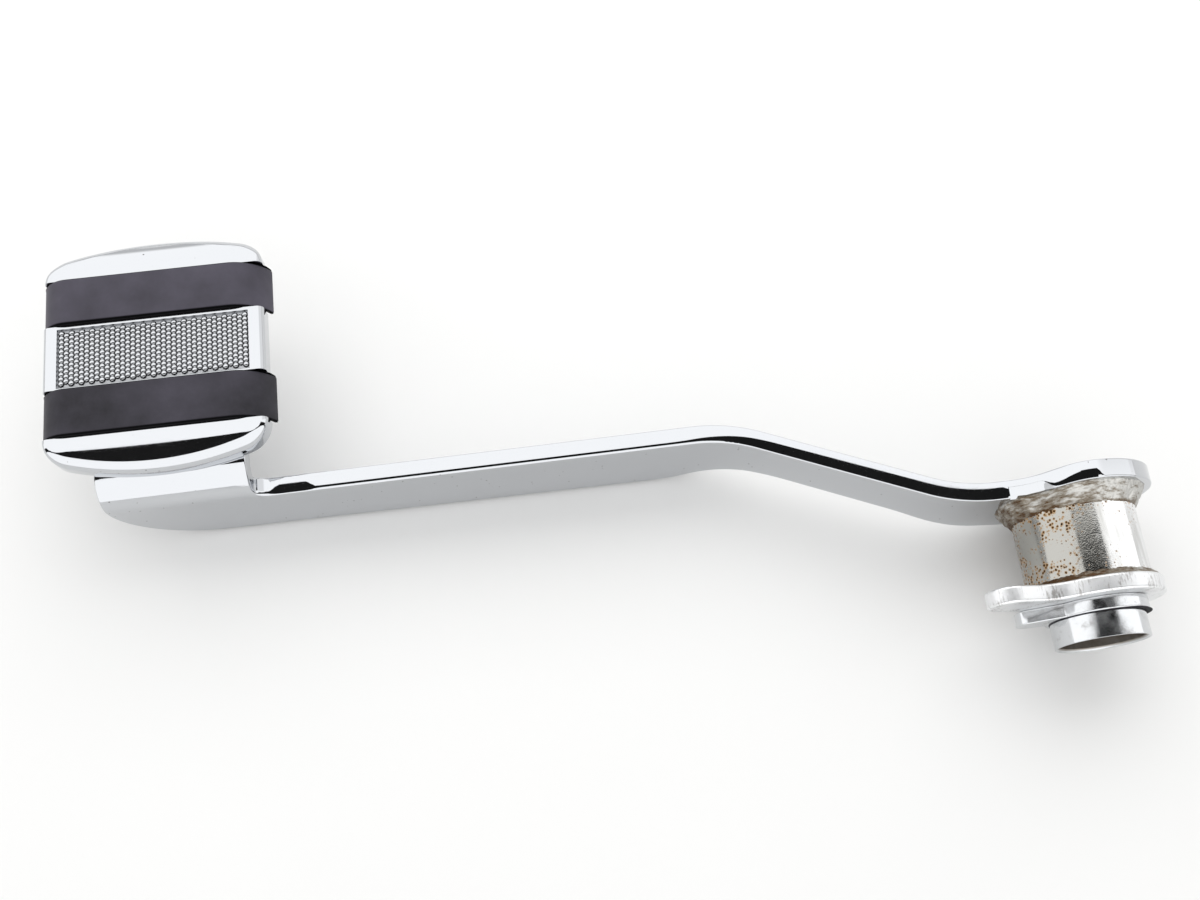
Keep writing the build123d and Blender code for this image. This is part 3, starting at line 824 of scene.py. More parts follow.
def lever_outline(sizes):
    """The lever's flat blank before it is bent: eye, scoop, bar, tab, toe and waist, anticlockwise."""
    origin = Vector((0, 0))
    eye_radius = LEVER_HIGH.x
    shoulder = eye_radius * Vector((math.cos(sizes.shoulder), math.sin(sizes.shoulder)))
    heel = eye_radius * Vector((math.cos(sizes.heel), math.sin(sizes.heel)))
    scoop = Vector((-sizes.scoop_start, sizes.scoop_height))
    flare = Vector((-sizes.flare_start, -sizes.waist_drop))
    up = (shoulder - scoop).normalized()
    down = (heel - flare).normalized()
    shoulder_centre, on_flank, on_top = flank_to_circle(
        scoop, up, Vector((up.y, -up.x)), origin, eye_radius, sizes.shoulder_round, 1)
    heel_centre, under_flank, on_heel = flank_to_circle(
        flare, down, Vector((-down.y, down.x)), origin, eye_radius, sizes.heel_round, -1)
    tab_left = -LEVER_LOW.x
    far = blank_height(sizes, LEVER_HIGH.y)
    bar = rounded_outline([
        (*on_flank, 0),
        (*scoop, sizes.scoop_round),
        (-sizes.tab_right, sizes.top_at_tab, sizes.notch_round),
        (-sizes.tab_right, far, sizes.far_corner),
        (-tab_left, far, sizes.far_corner),
        (-tab_left, -sizes.bar_drop, sizes.toe_round),
        (-sizes.waist_start - sizes.waist_run, -sizes.bar_drop, sizes.waist_round),
        (-sizes.waist_start, -sizes.waist_drop, sizes.waist_round),
        (*flare, sizes.flare_round),
        (*under_flank, 0),
    ])
    heel_arc = arc_between(heel_centre, under_flank, on_heel, -1)
    eye_arc = arc_between(origin, on_heel, on_top, 1)
    shoulder_arc = arc_between(shoulder_centre, on_top, on_flank, 1)
    whole = divided(merged(bar + heel_arc + eye_arc + shoulder_arc), LEVER_STEP)
    return stopped(whole, [-sizes.dish_end, sizes.crisp - sizes.dish_end])


def bend_start(sizes):
    """Height at which the tab starts to roll over."""
    return TAB_TOP - sizes.bend_radius


def blank_height(sizes, y):
    """Height in the flat blank of a place on the tab's flat top."""
    rolled = sizes.bend_radius * math.pi / 2
    return bend_start(sizes) + rolled + y - sizes.joggle_offset - sizes.bend_radius


def joggle_path(sizes, x, depth):
    """Where a broad face of the bar lies in plan at a place along it: depth 0 is the near face, 1 the far."""
    thickness = SLEEVE_HIGH.y
    slope = math.atan2(sizes.joggle_offset, sizes.joggle_run)
    shift = depth * thickness * math.tan(slope / 2)
    start, end = -sizes.joggle_start + shift, -sizes.joggle_start - sizes.joggle_run + shift
    near, far = depth * thickness, depth * thickness + sizes.joggle_offset
    first = sizes.joggle_bend + (1 - depth) * thickness
    second = sizes.joggle_bend + depth * thickness
    first_reach, second_reach = first * math.tan(slope / 2), second * math.tan(slope / 2)
    if x >= start + first_reach:
        return near
    if x >= start - first_reach * math.cos(slope):
        return near + first - math.sqrt(first ** 2 - (start + first_reach - x) ** 2)
    if x >= end + second_reach * math.cos(slope):
        return near + (start - x) * math.tan(slope)
    if x >= end - second_reach:
        return far - second + math.sqrt(second ** 2 - (x - end + second_reach) ** 2)
    return far


def lever_edge(sizes):
    """The lever's polished edge: a broad near round, with facets ground into it along its top."""
    thickness = SLEEVE_HIGH.y
    turns = [math.pi / 2 * k / ROUND_STEPS for k in range(ROUND_STEPS + 1)]
    broad = [(sizes.edge_round * (1 - math.sin(a)), sizes.edge_spread * (1 - math.cos(a))) for a in turns]
    plain = round_edge(thickness, sizes.edge_round)
    tight, far = plain[:ROUND_STEPS + 1], plain[ROUND_STEPS + 1:]
    joggle, flank, dish = [
        [(inset * MM, depth * MM) for inset, depth in section]
        for section in (JOGGLE_FACET, FLANK_FACET, DISH)]

    def edge(point):
        back, end = -point.x, sizes.run_out
        shares = (
            (joggle, rise_and_fall(back, sizes.facet_start, sizes.facet_end, end, sizes.facet_fade)),
            (joggle, rise_and_fall(back, sizes.nick_start, sizes.nick_end, end, end)),
            (tight, 1 - smooth_step(back, sizes.flank_start, sizes.flank_start + sizes.flank_stop)),
            (flank, rise_and_fall(
                back, sizes.flank_start, sizes.flank_end, sizes.flank_stop, sizes.flank_fade)),
            (dish, rise_and_fall(back, sizes.dish_start, sizes.dish_end, end, sizes.crisp)),
        )
        near = broad
        for ground, share in shares:
            if point.y > sizes.ground_above and share > 0:
                near = [
                    (a[0] + (b[0] - a[0]) * share, a[1] + (b[1] - a[1]) * share)
                    for a, b in zip(near, ground)]
        return near + far

    return edge


def bent(sizes):
    """The function that bends the lever's blank: the joggle in plan and the tab rolled over."""
    thickness = SLEEVE_HIGH.y
    start = bend_start(sizes)
    radius = sizes.bend_radius
    rolled = radius * math.pi / 2

    def place(point):
        x, height, depth = point
        beside_tab = x > -sizes.tab_right + sizes.tab_clear
        if height <= start or beside_tab:
            near, far = joggle_path(sizes, x, 0), joggle_path(sizes, x, 1)
            return Vector((x, near + (far - near) * depth / thickness, height))
        front = sizes.joggle_offset + radius
        if height <= start + rolled:
            turn = (height - start) / radius
            reach = radius - depth
            return Vector((x, front - reach * math.cos(turn), start + reach * math.sin(turn)))
        return Vector((x, front + height - start - rolled, TAB_TOP - depth))

    return place


class PEDAL_OT_lever(bpy.types.Operator):
    """Builds the chromed lever: a blanked bar with an eye, joggled in plan and rolled over into a tab"""
    bl_idname = "pedal.lever"
    bl_label = "Lever"

    def execute(self, context):
        sizes = context.scene.pedal_lever
        pad = context.scene.pedal_pad
        thickness = SLEEVE_HIGH.y
        bore = circle(Vector((0, 0)), sizes.seat_radius)
        plain = round_edge(thickness, HOLE_BREAK)
        loops = [(lever_outline(sizes), lever_edge(sizes)), (bore, lambda point: plain)]
        for node in ("pad_stud_front", "pad_stud_rear"):
            low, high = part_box(node)
            middle = (low + high) / 2
            hole = Vector((middle.x, blank_height(sizes, middle.y)))
            loops.append((circle(hole, pad.stud_diameter / 2 + pad.stud_clearance), lambda point: plain))
        bm = plate(loops)
        for bend in (sizes.joggle_start, sizes.joggle_start + sizes.joggle_run):
            cut(bm, "X", spread(-bend - BEND_REACH, BEND_REACH - bend, BEND_STEP))
        start = bend_start(sizes)
        rolled = sizes.bend_radius * math.pi / 2
        cut(bm, "Y", spread(start, start + rolled, ROLL_STEP), -sizes.tab_right)
        placed(bm, bent(sizes))
        finished("lever_chromed", bm, polished_chrome(), ["lever_arm"])
        return {"FINISHED"}


# Hub

# Shallow pits in the tube's skin: its depth, theirs, how many lie on a millimetre and the noise they start at
PIT_SKIN = 0.2 * MM
PIT_DEPTH = 0.03 * MM
PITS_PER_MM = 1.1
PIT_START = 0.25


class PEDAL_OT_hub(bpy.types.Operator):
    """Builds the hub's tube, sleeve and rubber washer as rings about the pivot axis"""
    bl_idname = "pedal.hub"
    bl_label = "Hub"

    def execute(self, context):
        sizes = context.scene.pedal_hub
        seat = context.scene.pedal_lever.seat_radius
        section = rounded_outline([
            (seat, TUBE_HIGH.y, 0), (TUBE_HIGH.x, TUBE_HIGH.y, sizes.ring_round),
            (TUBE_HIGH.x, TUBE_LOW.y, sizes.ring_round), (seat, TUBE_LOW.y, 0)])
        tube = divided(section, TUBE_STEP)

        def pitted(point, turn):
            at_surface = point.x > TUBE_HIGH.x - PIT_SKIN
            around = Vector((math.cos(turn), 0, math.sin(turn))) * TUBE_HIGH.x
            spot = (around + Vector((0, point.y, 0))) / MM
            pits = max(0, noise.noise(spot * PITS_PER_MM) - PIT_START)
            depth = PIT_DEPTH * pits if at_surface else 0
            return Vector((point.x - depth, point.y))

        bm = turned(tube, TUBE_STEPS, pitted)
        finished("hub_tube", bm, worn_plating(), ["pivot_tube"])
        outer = SLEEVE_HIGH.x
        bore, mouth = sizes.bore_radius, sizes.mouth
        sleeve = rounded_outline([
            (bore, SLEEVE_HIGH.y - mouth, MOUTH_BREAK), (bore + mouth, SLEEVE_HIGH.y, SLEEVE_BREAK),
            (outer, SLEEVE_HIGH.y, SLEEVE_BREAK), (outer, SLEEVE_LOW.y, SLEEVE_BREAK),
            (bore + mouth, SLEEVE_LOW.y, SLEEVE_BREAK), (bore, SLEEVE_LOW.y + mouth, MOUTH_BREAK)])
        bm = turned(sleeve, RING_STEPS)
        finished("sleeve_ring", bm, bright_steel(), ["pivot_sleeve"])
        rim, edge = WASHER_HIGH.x - sizes.washer_slip, WASHER_HIGH.y - sizes.washer_edge
        washer = rounded_outline([
            (seat, WASHER_HIGH.y, 0), (rim, WASHER_HIGH.y, WASHER_BREAK), (rim, edge, WASHER_BREAK),
            (seat, edge, 0)])

        def slipped(point, turn):
            loose = smooth_step(point.x, seat, rim)
            return Vector((point.x + loose * sizes.washer_slip * math.cos(turn), point.y))

        bm = turned(washer, RING_STEPS, slipped)
        finished("washer_rubber", bm, black_rubber(), ["seal_washer"])
        return {"FINISHED"}


def tang_outline(sizes):
    """The link plate's outline: a round plate with a blunt tang to the front, anticlockwise."""
    origin = Vector((0, 0))
    tip = Vector((-sizes.tang_reach, sizes.tang_rise))
    way = tip.normalized()
    across = Vector((-way.y, way.x))
    lower_start = tip + across * sizes.tang_radius
    upper_start = tip - across * sizes.tang_radius
    lower_centre, lower_flank, lower_root = flank_to_circle(
        lower_start, -way, -across, origin, sizes.plate_radius, sizes.tang_neck, -1)
    upper_centre, upper_flank, upper_root = flank_to_circle(
        upper_start, -way, across, origin, sizes.plate_radius, sizes.tang_neck, -1)
    body = arc_between(origin, lower_root, upper_root, 1)
    upper = arc_between(upper_centre, upper_root, upper_flank, -1)
    end = arc_between(tip, upper_start, lower_start, 1)
    lower = arc_between(lower_centre, lower_flank, lower_root, -1)
    return merged(body + upper + end + lower)


def lug_outline(sizes):
    """The stop collar's outline: a ring with a square lug to the front, anticlockwise."""
    radius = sizes.collar_radius
    top, bottom = sizes.lug_top, sizes.lug_bottom
    upper = Vector((-math.sqrt(radius ** 2 - sizes.lug_root ** 2), sizes.lug_root))
    lower = Vector((-math.sqrt(radius ** 2 - bottom ** 2), bottom))
    body = arc_between(Vector((0, 0)), lower, upper, 1)
    lug = rounded_outline([
        (*upper, 0), (-sizes.lug_reach, top, sizes.lug_corner), (-sizes.lug_reach, bottom, sizes.lug_corner),
        (*lower, 0)])
    return merged(body + lug)


def across_axis(far_y):
    """The function that stands a flat plate across the pivot axis, its depth towards the inboard end."""
    return lambda point: Vector((point.x, far_y - point.z, point.y))


class PEDAL_OT_link_plate(bpy.types.Operator):
    """Builds the blanked link plate with its tang"""
    bl_idname = "pedal.link_plate"
    bl_label = "Link plate"

    def execute(self, context):
        sizes = context.scene.pedal_hub
        thickness = PLATE_HIGH.y - PLATE_LOW.y
        worn = round_edge(thickness, sizes.plate_round)
        bore = round_edge(thickness, PLATE_BORE_BREAK)
        seat = circle(Vector((0, 0)), context.scene.pedal_lever.seat_radius)
        bm = plate([(tang_outline(sizes), lambda point: worn), (seat, lambda point: bore)])
        placed(bm, across_axis(PLATE_HIGH.y))
        finished("plate_blanked", bm, sheared_steel(), ["link_plate"])
        return {"FINISHED"}


class PEDAL_OT_stop_collar(bpy.types.Operator):
    """Builds the thin collar with its stop lug"""
    bl_idname = "pedal.stop_collar"
    bl_label = "Stop collar"

    def execute(self, context):
        sizes = context.scene.pedal_hub
        thickness = COLLAR_HIGH.y - COLLAR_LOW.y
        worn = round_edge(thickness, sizes.ring_round)
        bore = round_edge(thickness, COLLAR_BORE_BREAK)
        seat = circle(Vector((0, 0)), context.scene.pedal_lever.seat_radius)
        bm = plate([(lug_outline(sizes), lambda point: worn), (seat, lambda point: bore)])
        placed(bm, across_axis(COLLAR_HIGH.y))
        finished("collar_ring", bm, bright_steel(), ["stop_collar"])
        return {"FINISHED"}


def reach_of(outline, turn):
    """How far an outline lies from the pivot in one direction."""
    way = Vector((math.cos(turn), math.sin(turn)))
    reaches = []
    for i, end in enumerate(outline):
        start = outline[i - 1]
        if way.cross(start) * way.cross(end) <= 0 and way.dot(start) > 0 and start != end:
            reaches.append(start.cross(end) / way.cross(end - start))
    return min(reaches)


# Lumps of the weld beads: (waves per millimetre, weight) of each size, the level that is taken off,
# their height and how far one may stand out
LUMPS = ((0.4, 0.8), (1.4, 0.6), (3.1, 0.3))
LUMP_LEVEL = 0.25
LUMP_HEIGHT = 0.55 * MM
LUMP_LIMIT = 0.25 * MM

# Ripples of the weld beads: how they wander along the bead and lag over its bulk, and the level taken off
WANDER_PER_MM = 0.22
WANDER = 2.5
RIPPLE_LAG = 2.2
RIPPLE_LEVEL = 0.6

# Shares of a bead: how round its section is, how much of the roughness it gets and where its root ends
BEAD_SWELL = 0.15
BEAD_ROUGH = 0.75
BEAD_ROOT = 0.35


def rough_bead(node, root_y, direction, sizes, outline=None):
    """A rippled weld bead round the tube in its CAD node's box, kept on a plate if its outline is given."""
    low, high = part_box(node)
    inner = TUBE_HIGH.x
    root = Vector((inner, root_y))
    width, throw = high.x - inner, high.y - low.y
    swell = [math.pi / 2 * k / BEAD_ARCH_STEPS for k in range(BEAD_ARCH_STEPS + 1)]
    arch = [root + Vector((width * math.cos(a), direction * throw * math.sin(a))) for a in swell]
    flat = [arch[0].lerp(arch[-1], k / BEAD_ARCH_STEPS) for k in range(BEAD_ARCH_STEPS + 1)]
    section = [root] + [low_point.lerp(high_point, BEAD_SWELL) for low_point, high_point in zip(flat, arch)]
    rooms = {}

    def rippled(point, turn):
        if outline and turn not in rooms:
            rooms[turn] = min(1, (reach_of(outline, turn) - sizes.weld_margin - inner) / width)
        point = Vector((inner + (point.x - inner) * rooms.get(turn, 1), point.y))
        bulk = (point - root).length / max(width, throw)
        spot = Vector((math.cos(turn) * inner, point.y, math.sin(turn) * inner)) / MM
        wander = noise.noise(spot * WANDER_PER_MM) * WANDER
        wave = turn * inner / sizes.ripple * math.pi / 2
        ripple = abs(math.sin(wave + wander + RIPPLE_LAG * bulk)) - RIPPLE_LEVEL
        lumps = sum(noise.noise(spot * fineness) * weight for fineness, weight in LUMPS) - LUMP_LEVEL
        push = (ripple * sizes.ripple_height + lumps * LUMP_HEIGHT) * BEAD_ROUGH
        moved = point
        if bulk > BEAD_ROOT:
            moved = point + (point - root).normalized() * min(push, LUMP_LIMIT)
        return Vector((max(moved.x, inner), min(max(moved.y, low.y), high.y)))

    return turned(section, BEAD_STEPS, rippled)


class PEDAL_OT_welds(bpy.types.Operator):
    """Builds the two weld beads on the hub tube"""
    bl_idname = "pedal.welds"
    bl_label = "Welds"

    def execute(self, context):
        sizes = context.scene.pedal_hub
        steel = weld_metal()
        arm = rough_bead("arm_weld", TUBE_HIGH.y, -1, sizes, lever_outline(context.scene.pedal_lever))
        finished("weld_at_arm", arm, steel, ["arm_weld"], crease=70)
        plate_bead = rough_bead("plate_weld", TUBE_LOW.y, 1, sizes)
        finished("weld_at_plate", plate_bead, steel, ["plate_weld"], crease=70)
        return {"FINISHED"}


# Pad

# How far across the pad a rim has to face for its lean, wide round and rolled round to start and be whole
LEAN_FACING = (0, 0.12)
SWEEP_FACING = (0.3, 0.96)
ROUND_FACING = (0.3, 0.95)

# The far rim's lean and inset depend on each other, so they are found in a few tries
LEAN_TRIES = 3

# Share of the break at the wall's foot that its middle point lies in from the corner
FOOT_SHARE = 0.3

# How far the cutters of the shell's troughs and recess reach past it
TROUGH_REACH = 40 * MM
RECESS_REACH = 10 * MM


def pad_outline(sizes):
    """The pad's outline about its centre: straight ends, bulged sides and round corners, anticlockwise."""
    half = (SHELL_HIGH - SHELL_LOW) / 2
    radius = (half.x ** 2 + sizes.bulge ** 2) / (2 * sizes.bulge)
    far_centre = Vector((0, half.y - radius))
    centre, on_end, on_side = flank_to_circle(
        Vector((half.x, 0)), Vector((0, 1)), Vector((-1, 0)), far_centre, radius, sizes.corner, 1)
    corner = arc_between(centre, on_end, on_side, 1)
    mirrored = [Vector((-p.x, p.y)) for p in reversed(corner)]
    far_side = arc_between(far_centre, on_side, mirrored[0], 1)
    upper = corner + far_side + mirrored
    lower = [Vector((-p.x, -p.y)) for p in upper]
    return divided(merged(upper + lower), PAD_STEP)


def crown(sizes, y):
    """Height and slope of the pad's top at a distance from its middle line: it falls towards the far lip."""
    reach = (SHELL_HIGH.y - SHELL_LOW.y) / 2 - sizes.far_flat
    radius = (reach ** 2 + sizes.far_drop ** 2) / (2 * sizes.far_drop)
    out = max(y - sizes.far_flat, 0)
    rest = math.sqrt(radius ** 2 - out ** 2)
    return SHELL_HIGH.z - radius + rest, out / rest


def rim_section(sizes, point, way, radius):
    """The rolled rim over a point of the pad's outline, from top to wall, as (inset, height) points."""
    lean = sizes.lip_lean * smooth_step(way.y, *LEAN_FACING)
    taper = 1 - sizes.lip_taper * (2 * point.x / (SHELL_HIGH.x - SHELL_LOW.x)) ** 2
    sweep = sizes.lip_sweep * max(0, taper) * smooth_step(way.y, *SWEEP_FACING)
    sweeps = [lean * k / ROUND_STEPS for k in range(ROUND_STEPS)]
    wide = [
        (radius * (1 - math.sin(lean)) + sweep * (math.sin(lean) - math.sin(turn)),
         SHELL_HIGH.z - sweep * (1 - math.cos(turn))) for turn in sweeps]
    height = SHELL_HIGH.z - sweep * (1 - math.cos(lean))
    if way.y < 0:
        inset = radius
        for _ in range(LEAN_TRIES):
            height, steep = crown(sizes, point.y + way.y * inset)
            lean = math.atan(steep * abs(way.y))
            inset = radius * (1 - math.sin(lean))
        wide = [(inset, height)] * ROUND_STEPS
    steps = ROUND_STEPS * 2
    turns = [lean + (math.pi / 2 - lean) * k / steps for k in range(steps + 1)]
    middle = height - radius * math.cos(lean)
    return wide + [(radius * (1 - math.sin(turn)), middle + radius * math.cos(turn)) for turn in turns]


def pad_cap(sizes):
    """The pad's shell before its troughs are cut: crowned top, rolled rim, wall and hollow underside."""
    bm = bmesh.new()
    outline = pad_outline(sizes)
    ways = [inwards_at(outline, i) for i in range(len(outline))]
    lips = [smooth_step(abs(w.y), *ROUND_FACING) for w in ways]
    radii = [sizes.rim_round + (sizes.lip_round - sizes.rim_round) * share for share in lips]
    foot, ceiling = SHELL_LOW.z, SHELL_HIGH.z - sizes.top_wall
    corner = FOOT_SHARE * sizes.foot_break
    skirt = [
        (0, foot + sizes.foot_break), (corner, foot + corner), (sizes.foot_break, foot), (sizes.wall, foot),
        (sizes.wall, ceiling)]
    sections = [rim_section(sizes, *place) + skirt for place in zip(outline, ways, radii)]
    starts = [p + w * section[0][0] for p, w, section in zip(outline, ways, sections)]
    lip = max(p.y for p in starts)
    rings = []
    for limit in spread(sizes.far_flat, lip, CROWN_STEP):
        ring = [Vector((p.x, min(p.y, limit))) for p in starts]
        rings.append([(p.x, p.y, crown(sizes, p.y)[0]) for p in ring])
    for k in range(1, len(sections[0])):
        ring = [p + w * section[k][0] for p, w, section in zip(outline, ways, sections)]
        rings.append([(p.x, p.y, section[k][1]) for p, section in zip(ring, sections)])
    made = [[bm.verts.new(point) for point in ring] for ring in rings]
    ring_faces(bm, made)
    for ring in (made[0], made[-1]):
        bmesh.ops.triangle_fill(bm, use_beauty=True, edges=ring_edges(bm, ring))
    return placed(bm, lambda point: point + Vector((PAD_CENTRE.x, PAD_CENTRE.y, 0)))


def prism(outline, thickness):
    """A plain prism of an outline."""
    return plate([(outline, lambda point: [(0, 0), (0, thickness)])])


def tool(name, bm):
    """A mesh object that only helps to make a piece."""
    obj = bpy.data.objects.new(name, mesh_of(name, bm))
    bpy.context.scene.collection.objects.link(obj)
    return obj


def trough(sizes, low, high):
    """What the shell gives up to one rubber strip: a shallow trough over the top and down both ends."""
    floor = SHELL_HIGH.z + sizes.strip_stand - sizes.strip_thickness
    half = (SHELL_HIGH.x - SHELL_LOW.x) / 2 - sizes.strip_seat
    wide = 2 * half
    below, above = floor - TROUGH_REACH, floor + TROUGH_REACH
    corners = [
        (wide, below, 0), (wide, above, 0), (-wide, above, 0), (-wide, below, 0), (-half, below, 0),
        (-half, floor, sizes.strip_bed), (half, floor, sizes.strip_bed), (half, below, 0)]
    bm = prism(rounded_outline(corners), high.y - low.y + 2 * sizes.fit)
    near = low.y - sizes.fit
    return placed(bm, lambda p: Vector((PAD_CENTRE.x + p.x, near + p.z, p.y)))


def recess(sizes):
    """What the shell gives up to the tread plate."""
    room = sizes.tread_fit
    left, right = TREAD_LOW.x - room, TREAD_HIGH.x + room
    near, far = TREAD_LOW.y - sizes.tread_gap, TREAD_HIGH.y + room
    bm = prism([Vector(p) for p in ((right, near), (right, far), (left, far), (left, near))], RECESS_REACH)
    return placed(bm, lambda p: Vector((p.x, p.y, TREAD_LOW.z + p.z)))


class PEDAL_OT_pad_shell(bpy.types.Operator):
    """Builds the chromed pad shell with its crown, rolled rim, troughs and tread recess"""
    bl_idname = "pedal.pad_shell"
    bl_label = "Pad shell"

    def execute(self, context):
        sizes = context.scene.pedal_pad
        cap = tool("cap", pad_cap(sizes))
        cutters = [
            tool("trough_near", trough(sizes, STRIP_LOW, STRIP_HIGH)),
            tool("trough_far", trough(sizes, FAR_STRIP_LOW, FAR_STRIP_HIGH)),
            tool("recess", recess(sizes)),
        ]
        for cutter in cutters:
            step = cap.modifiers.new("Cut", "BOOLEAN")
            step.operation = "DIFFERENCE"
            step.solver = "EXACT"
            step.object = cutter
        depsgraph = context.evaluated_depsgraph_get()
        mesh = bpy.data.meshes.new_from_object(cap.evaluated_get(depsgraph))
        for helper in [cap, *cutters]:
            bpy.data.objects.remove(helper)
        mesh.name = "shell_chromed"
        dressed("shell_chromed", mesh, polished_chrome(), ["pad_shell"], crease=32)
        return {"FINISHED"}


def strip_section(sizes):
    """The rubber strip's section along the pad: flat top, round shoulders, splayed flaps, anticlockwise."""
    half = (SHELL_HIGH.x - SHELL_LOW.x) / 2 - sizes.strip_seat + sizes.fit
    tip = (STRIP_HIGH.x - STRIP_LOW.x) / 2
    top, foot = STRIP_HIGH.z, STRIP_LOW.z
    floor = top - sizes.strip_thickness
    section = rounded_outline([
        (tip, foot, FLAP_BREAK), (tip - sizes.strip_shoulder, top, sizes.strip_rear),
        (sizes.strip_shoulder - tip, top, sizes.strip_front), (-tip, foot, FLAP_BREAK),
        (sizes.strip_lip - tip, foot, FLAP_INNER_BREAK), (-half, floor, sizes.strip_bed),
        (half, floor, sizes.strip_bed), (tip - sizes.strip_lip, foot, FLAP_INNER_BREAK)])
    return divided(merged(section), STRIP_STEP)


class PEDAL_OT_rubber_strips(bpy.types.Operator):
    """Builds the two rubber strips that hook over the pad's ends"""
    bl_idname = "pedal.rubber_strips"
    bl_label = "Rubber strips"

    def execute(self, context):
        sizes = context.scene.pedal_pad
        rubber = black_rubber()
        places = {
            "rubber_strip_inner": (STRIP_LOW, STRIP_HIGH),
            "rubber_strip_outer": (FAR_STRIP_LOW, FAR_STRIP_HIGH),
        }
        for node, (low, high) in places.items():
            edge = round_edge(high.y - low.y, sizes.strip_round)
            bm = plate([(strip_section(sizes), lambda point: edge)])
            placed(bm, lambda p: Vector((PAD_CENTRE.x + p.x, low.y + p.z, p.y)))
            finished(node.replace("rubber_strip", "strip_moulded"), bm, rubber, [node])
        return {"FINISHED"}


def knurl_tree(material):
    """Geometry nodes that set staggered points over a plate."""
    tree = bpy.data.node_groups.new("Staggered knurl", "GeometryNodeTree")
    tree.interface.new_socket("Plate", in_out="INPUT", socket_type="NodeSocketGeometry")
    tree.interface.new_socket("Columns", in_out="INPUT", socket_type="NodeSocketInt")
    tree.interface.new_socket("Rows", in_out="INPUT", socket_type="NodeSocketInt")
    for name in ("Pitch", "Row pitch", "Point width", "Point height"):
        tree.interface.new_socket(name, in_out="INPUT", socket_type="NodeSocketFloat")
    tree.interface.new_socket("Centre", in_out="INPUT", socket_type="NodeSocketVector")
    tree.interface.new_socket("Tread", in_out="OUTPUT", socket_type="NodeSocketGeometry")
    given = add_node(tree, "NodeGroupInput").outputs
    # Two grids of points about one centre, the second a row and a column shorter, which staggers them
    fields = []
    for fewer in (0, 1):
        columns = add_node(tree, "ShaderNodeMath", {0: given["Columns"], 1: fewer}, operation="SUBTRACT")
        rows = add_node(tree, "ShaderNodeMath", {0: given["Rows"], 1: fewer}, operation="SUBTRACT")
        gaps = add_node(tree, "ShaderNodeMath", {0: columns, 1: 1}, operation="SUBTRACT")
        row_gaps = add_node(tree, "ShaderNodeMath", {0: rows, 1: 1}, operation="SUBTRACT")
        long = add_node(tree, "ShaderNodeMath", {0: gaps, 1: given["Pitch"]}, operation="MULTIPLY")
        wide = add_node(
            tree, "ShaderNodeMath", {0: row_gaps, 1: given["Row pitch"]}, operation="MULTIPLY")
        grid = add_node(
            tree, "GeometryNodeMeshGrid",
            {"Size X": long, "Size Y": wide, "Vertices X": columns, "Vertices Y": rows})
        fields.append(grid.outputs["Mesh"])
    field = add_node(tree, "GeometryNodeJoinGeometry")
    for grid in fields:
        tree.links.new(grid, field.inputs[0])
    moved = add_node(tree, "GeometryNodeTransform", {"Geometry": field, "Translation": given["Centre"]})
    # A low dome on every point, set on the plain plate
    foot = add_node(tree, "ShaderNodeMath", {0: given["Point width"], 1: 0.5}, operation="MULTIPLY")
    squash = add_node(tree, "ShaderNodeMath", {0: given["Point height"], 1: foot}, operation="DIVIDE")
    shape = add_node(tree, "ShaderNodeCombineXYZ", {"X": 1, "Y": 1, "Z": squash})
    ball = add_node(tree, "GeometryNodeMeshUVSphere", {"Segments": 8, "Rings": 6, "Radius": foot})
    dome = add_node(tree, "GeometryNodeTransform", {"Geometry": ball.outputs["Mesh"], "Scale": shape})
    points = add_node(tree, "GeometryNodeInstanceOnPoints", {"Points": moved, "Instance": dome})
    real = add_node(tree, "GeometryNodeRealizeInstances", {"Geometry": points})
    both = add_node(tree, "GeometryNodeJoinGeometry")
    tree.links.new(real.outputs[0], both.inputs[0])
    tree.links.new(given["Plate"], both.inputs[0])
    painted = add_node(tree, "GeometryNodeSetMaterial", {"Geometry": both, "Material": material})
    add_node(tree, "NodeGroupOutput", {"Tread": painted})
    return tree


class PEDAL_OT_tread(bpy.types.Operator):
    """Builds the knurled tread plate"""
    bl_idname = "pedal.tread"
    bl_label = "Tread"

    def execute(self, context):
        sizes = context.scene.pedal_pad
        material = knurled_plate()
        low, high = TREAD_LOW, TREAD_HIGH
        corners = [(high.x, low.y), (high.x, high.y), (low.x, high.y), (low.x, low.y)]
        flat = high.z - low.z - sizes.knurl_height
        bm = prism([Vector(p) for p in corners], flat)
        placed(bm, lambda p: Vector((p.x, p.y, low.z + p.z)))
        plain = tool("plain_tread", bm)
        tree = knurl_tree(material)
        knurl = plain.modifiers.new("Knurl", "NODES")
        knurl.node_group = tree
        middle = (low + high) / 2
        values = {
            "Columns": int((high.x - low.x - sizes.knurl_width) / sizes.knurl_pitch) + 1,
            "Rows": int((high.y - low.y - sizes.knurl_width) / sizes.knurl_row) + 1,
            "Pitch": sizes.knurl_pitch,
            "Row pitch": sizes.knurl_row,
            "Point width": sizes.knurl_width,
            "Point height": sizes.knurl_height,
            "Centre": (middle.x, middle.y, high.z - sizes.knurl_height),
        }
        for socket in tree.interface.items_tree:
            if socket.name in values and socket.in_out == "INPUT":
                knurl[socket.identifier] = values[socket.name]
        depsgraph = context.evaluated_depsgraph_get()
        mesh = bpy.data.meshes.new_from_object(plain.evaluated_get(depsgraph))
        bpy.data.objects.remove(plain)
        mesh.name = "tread_knurled"
        dressed("tread_knurled", mesh, material, ["tread_insert"], crease=70)
        return {"FINISHED"}


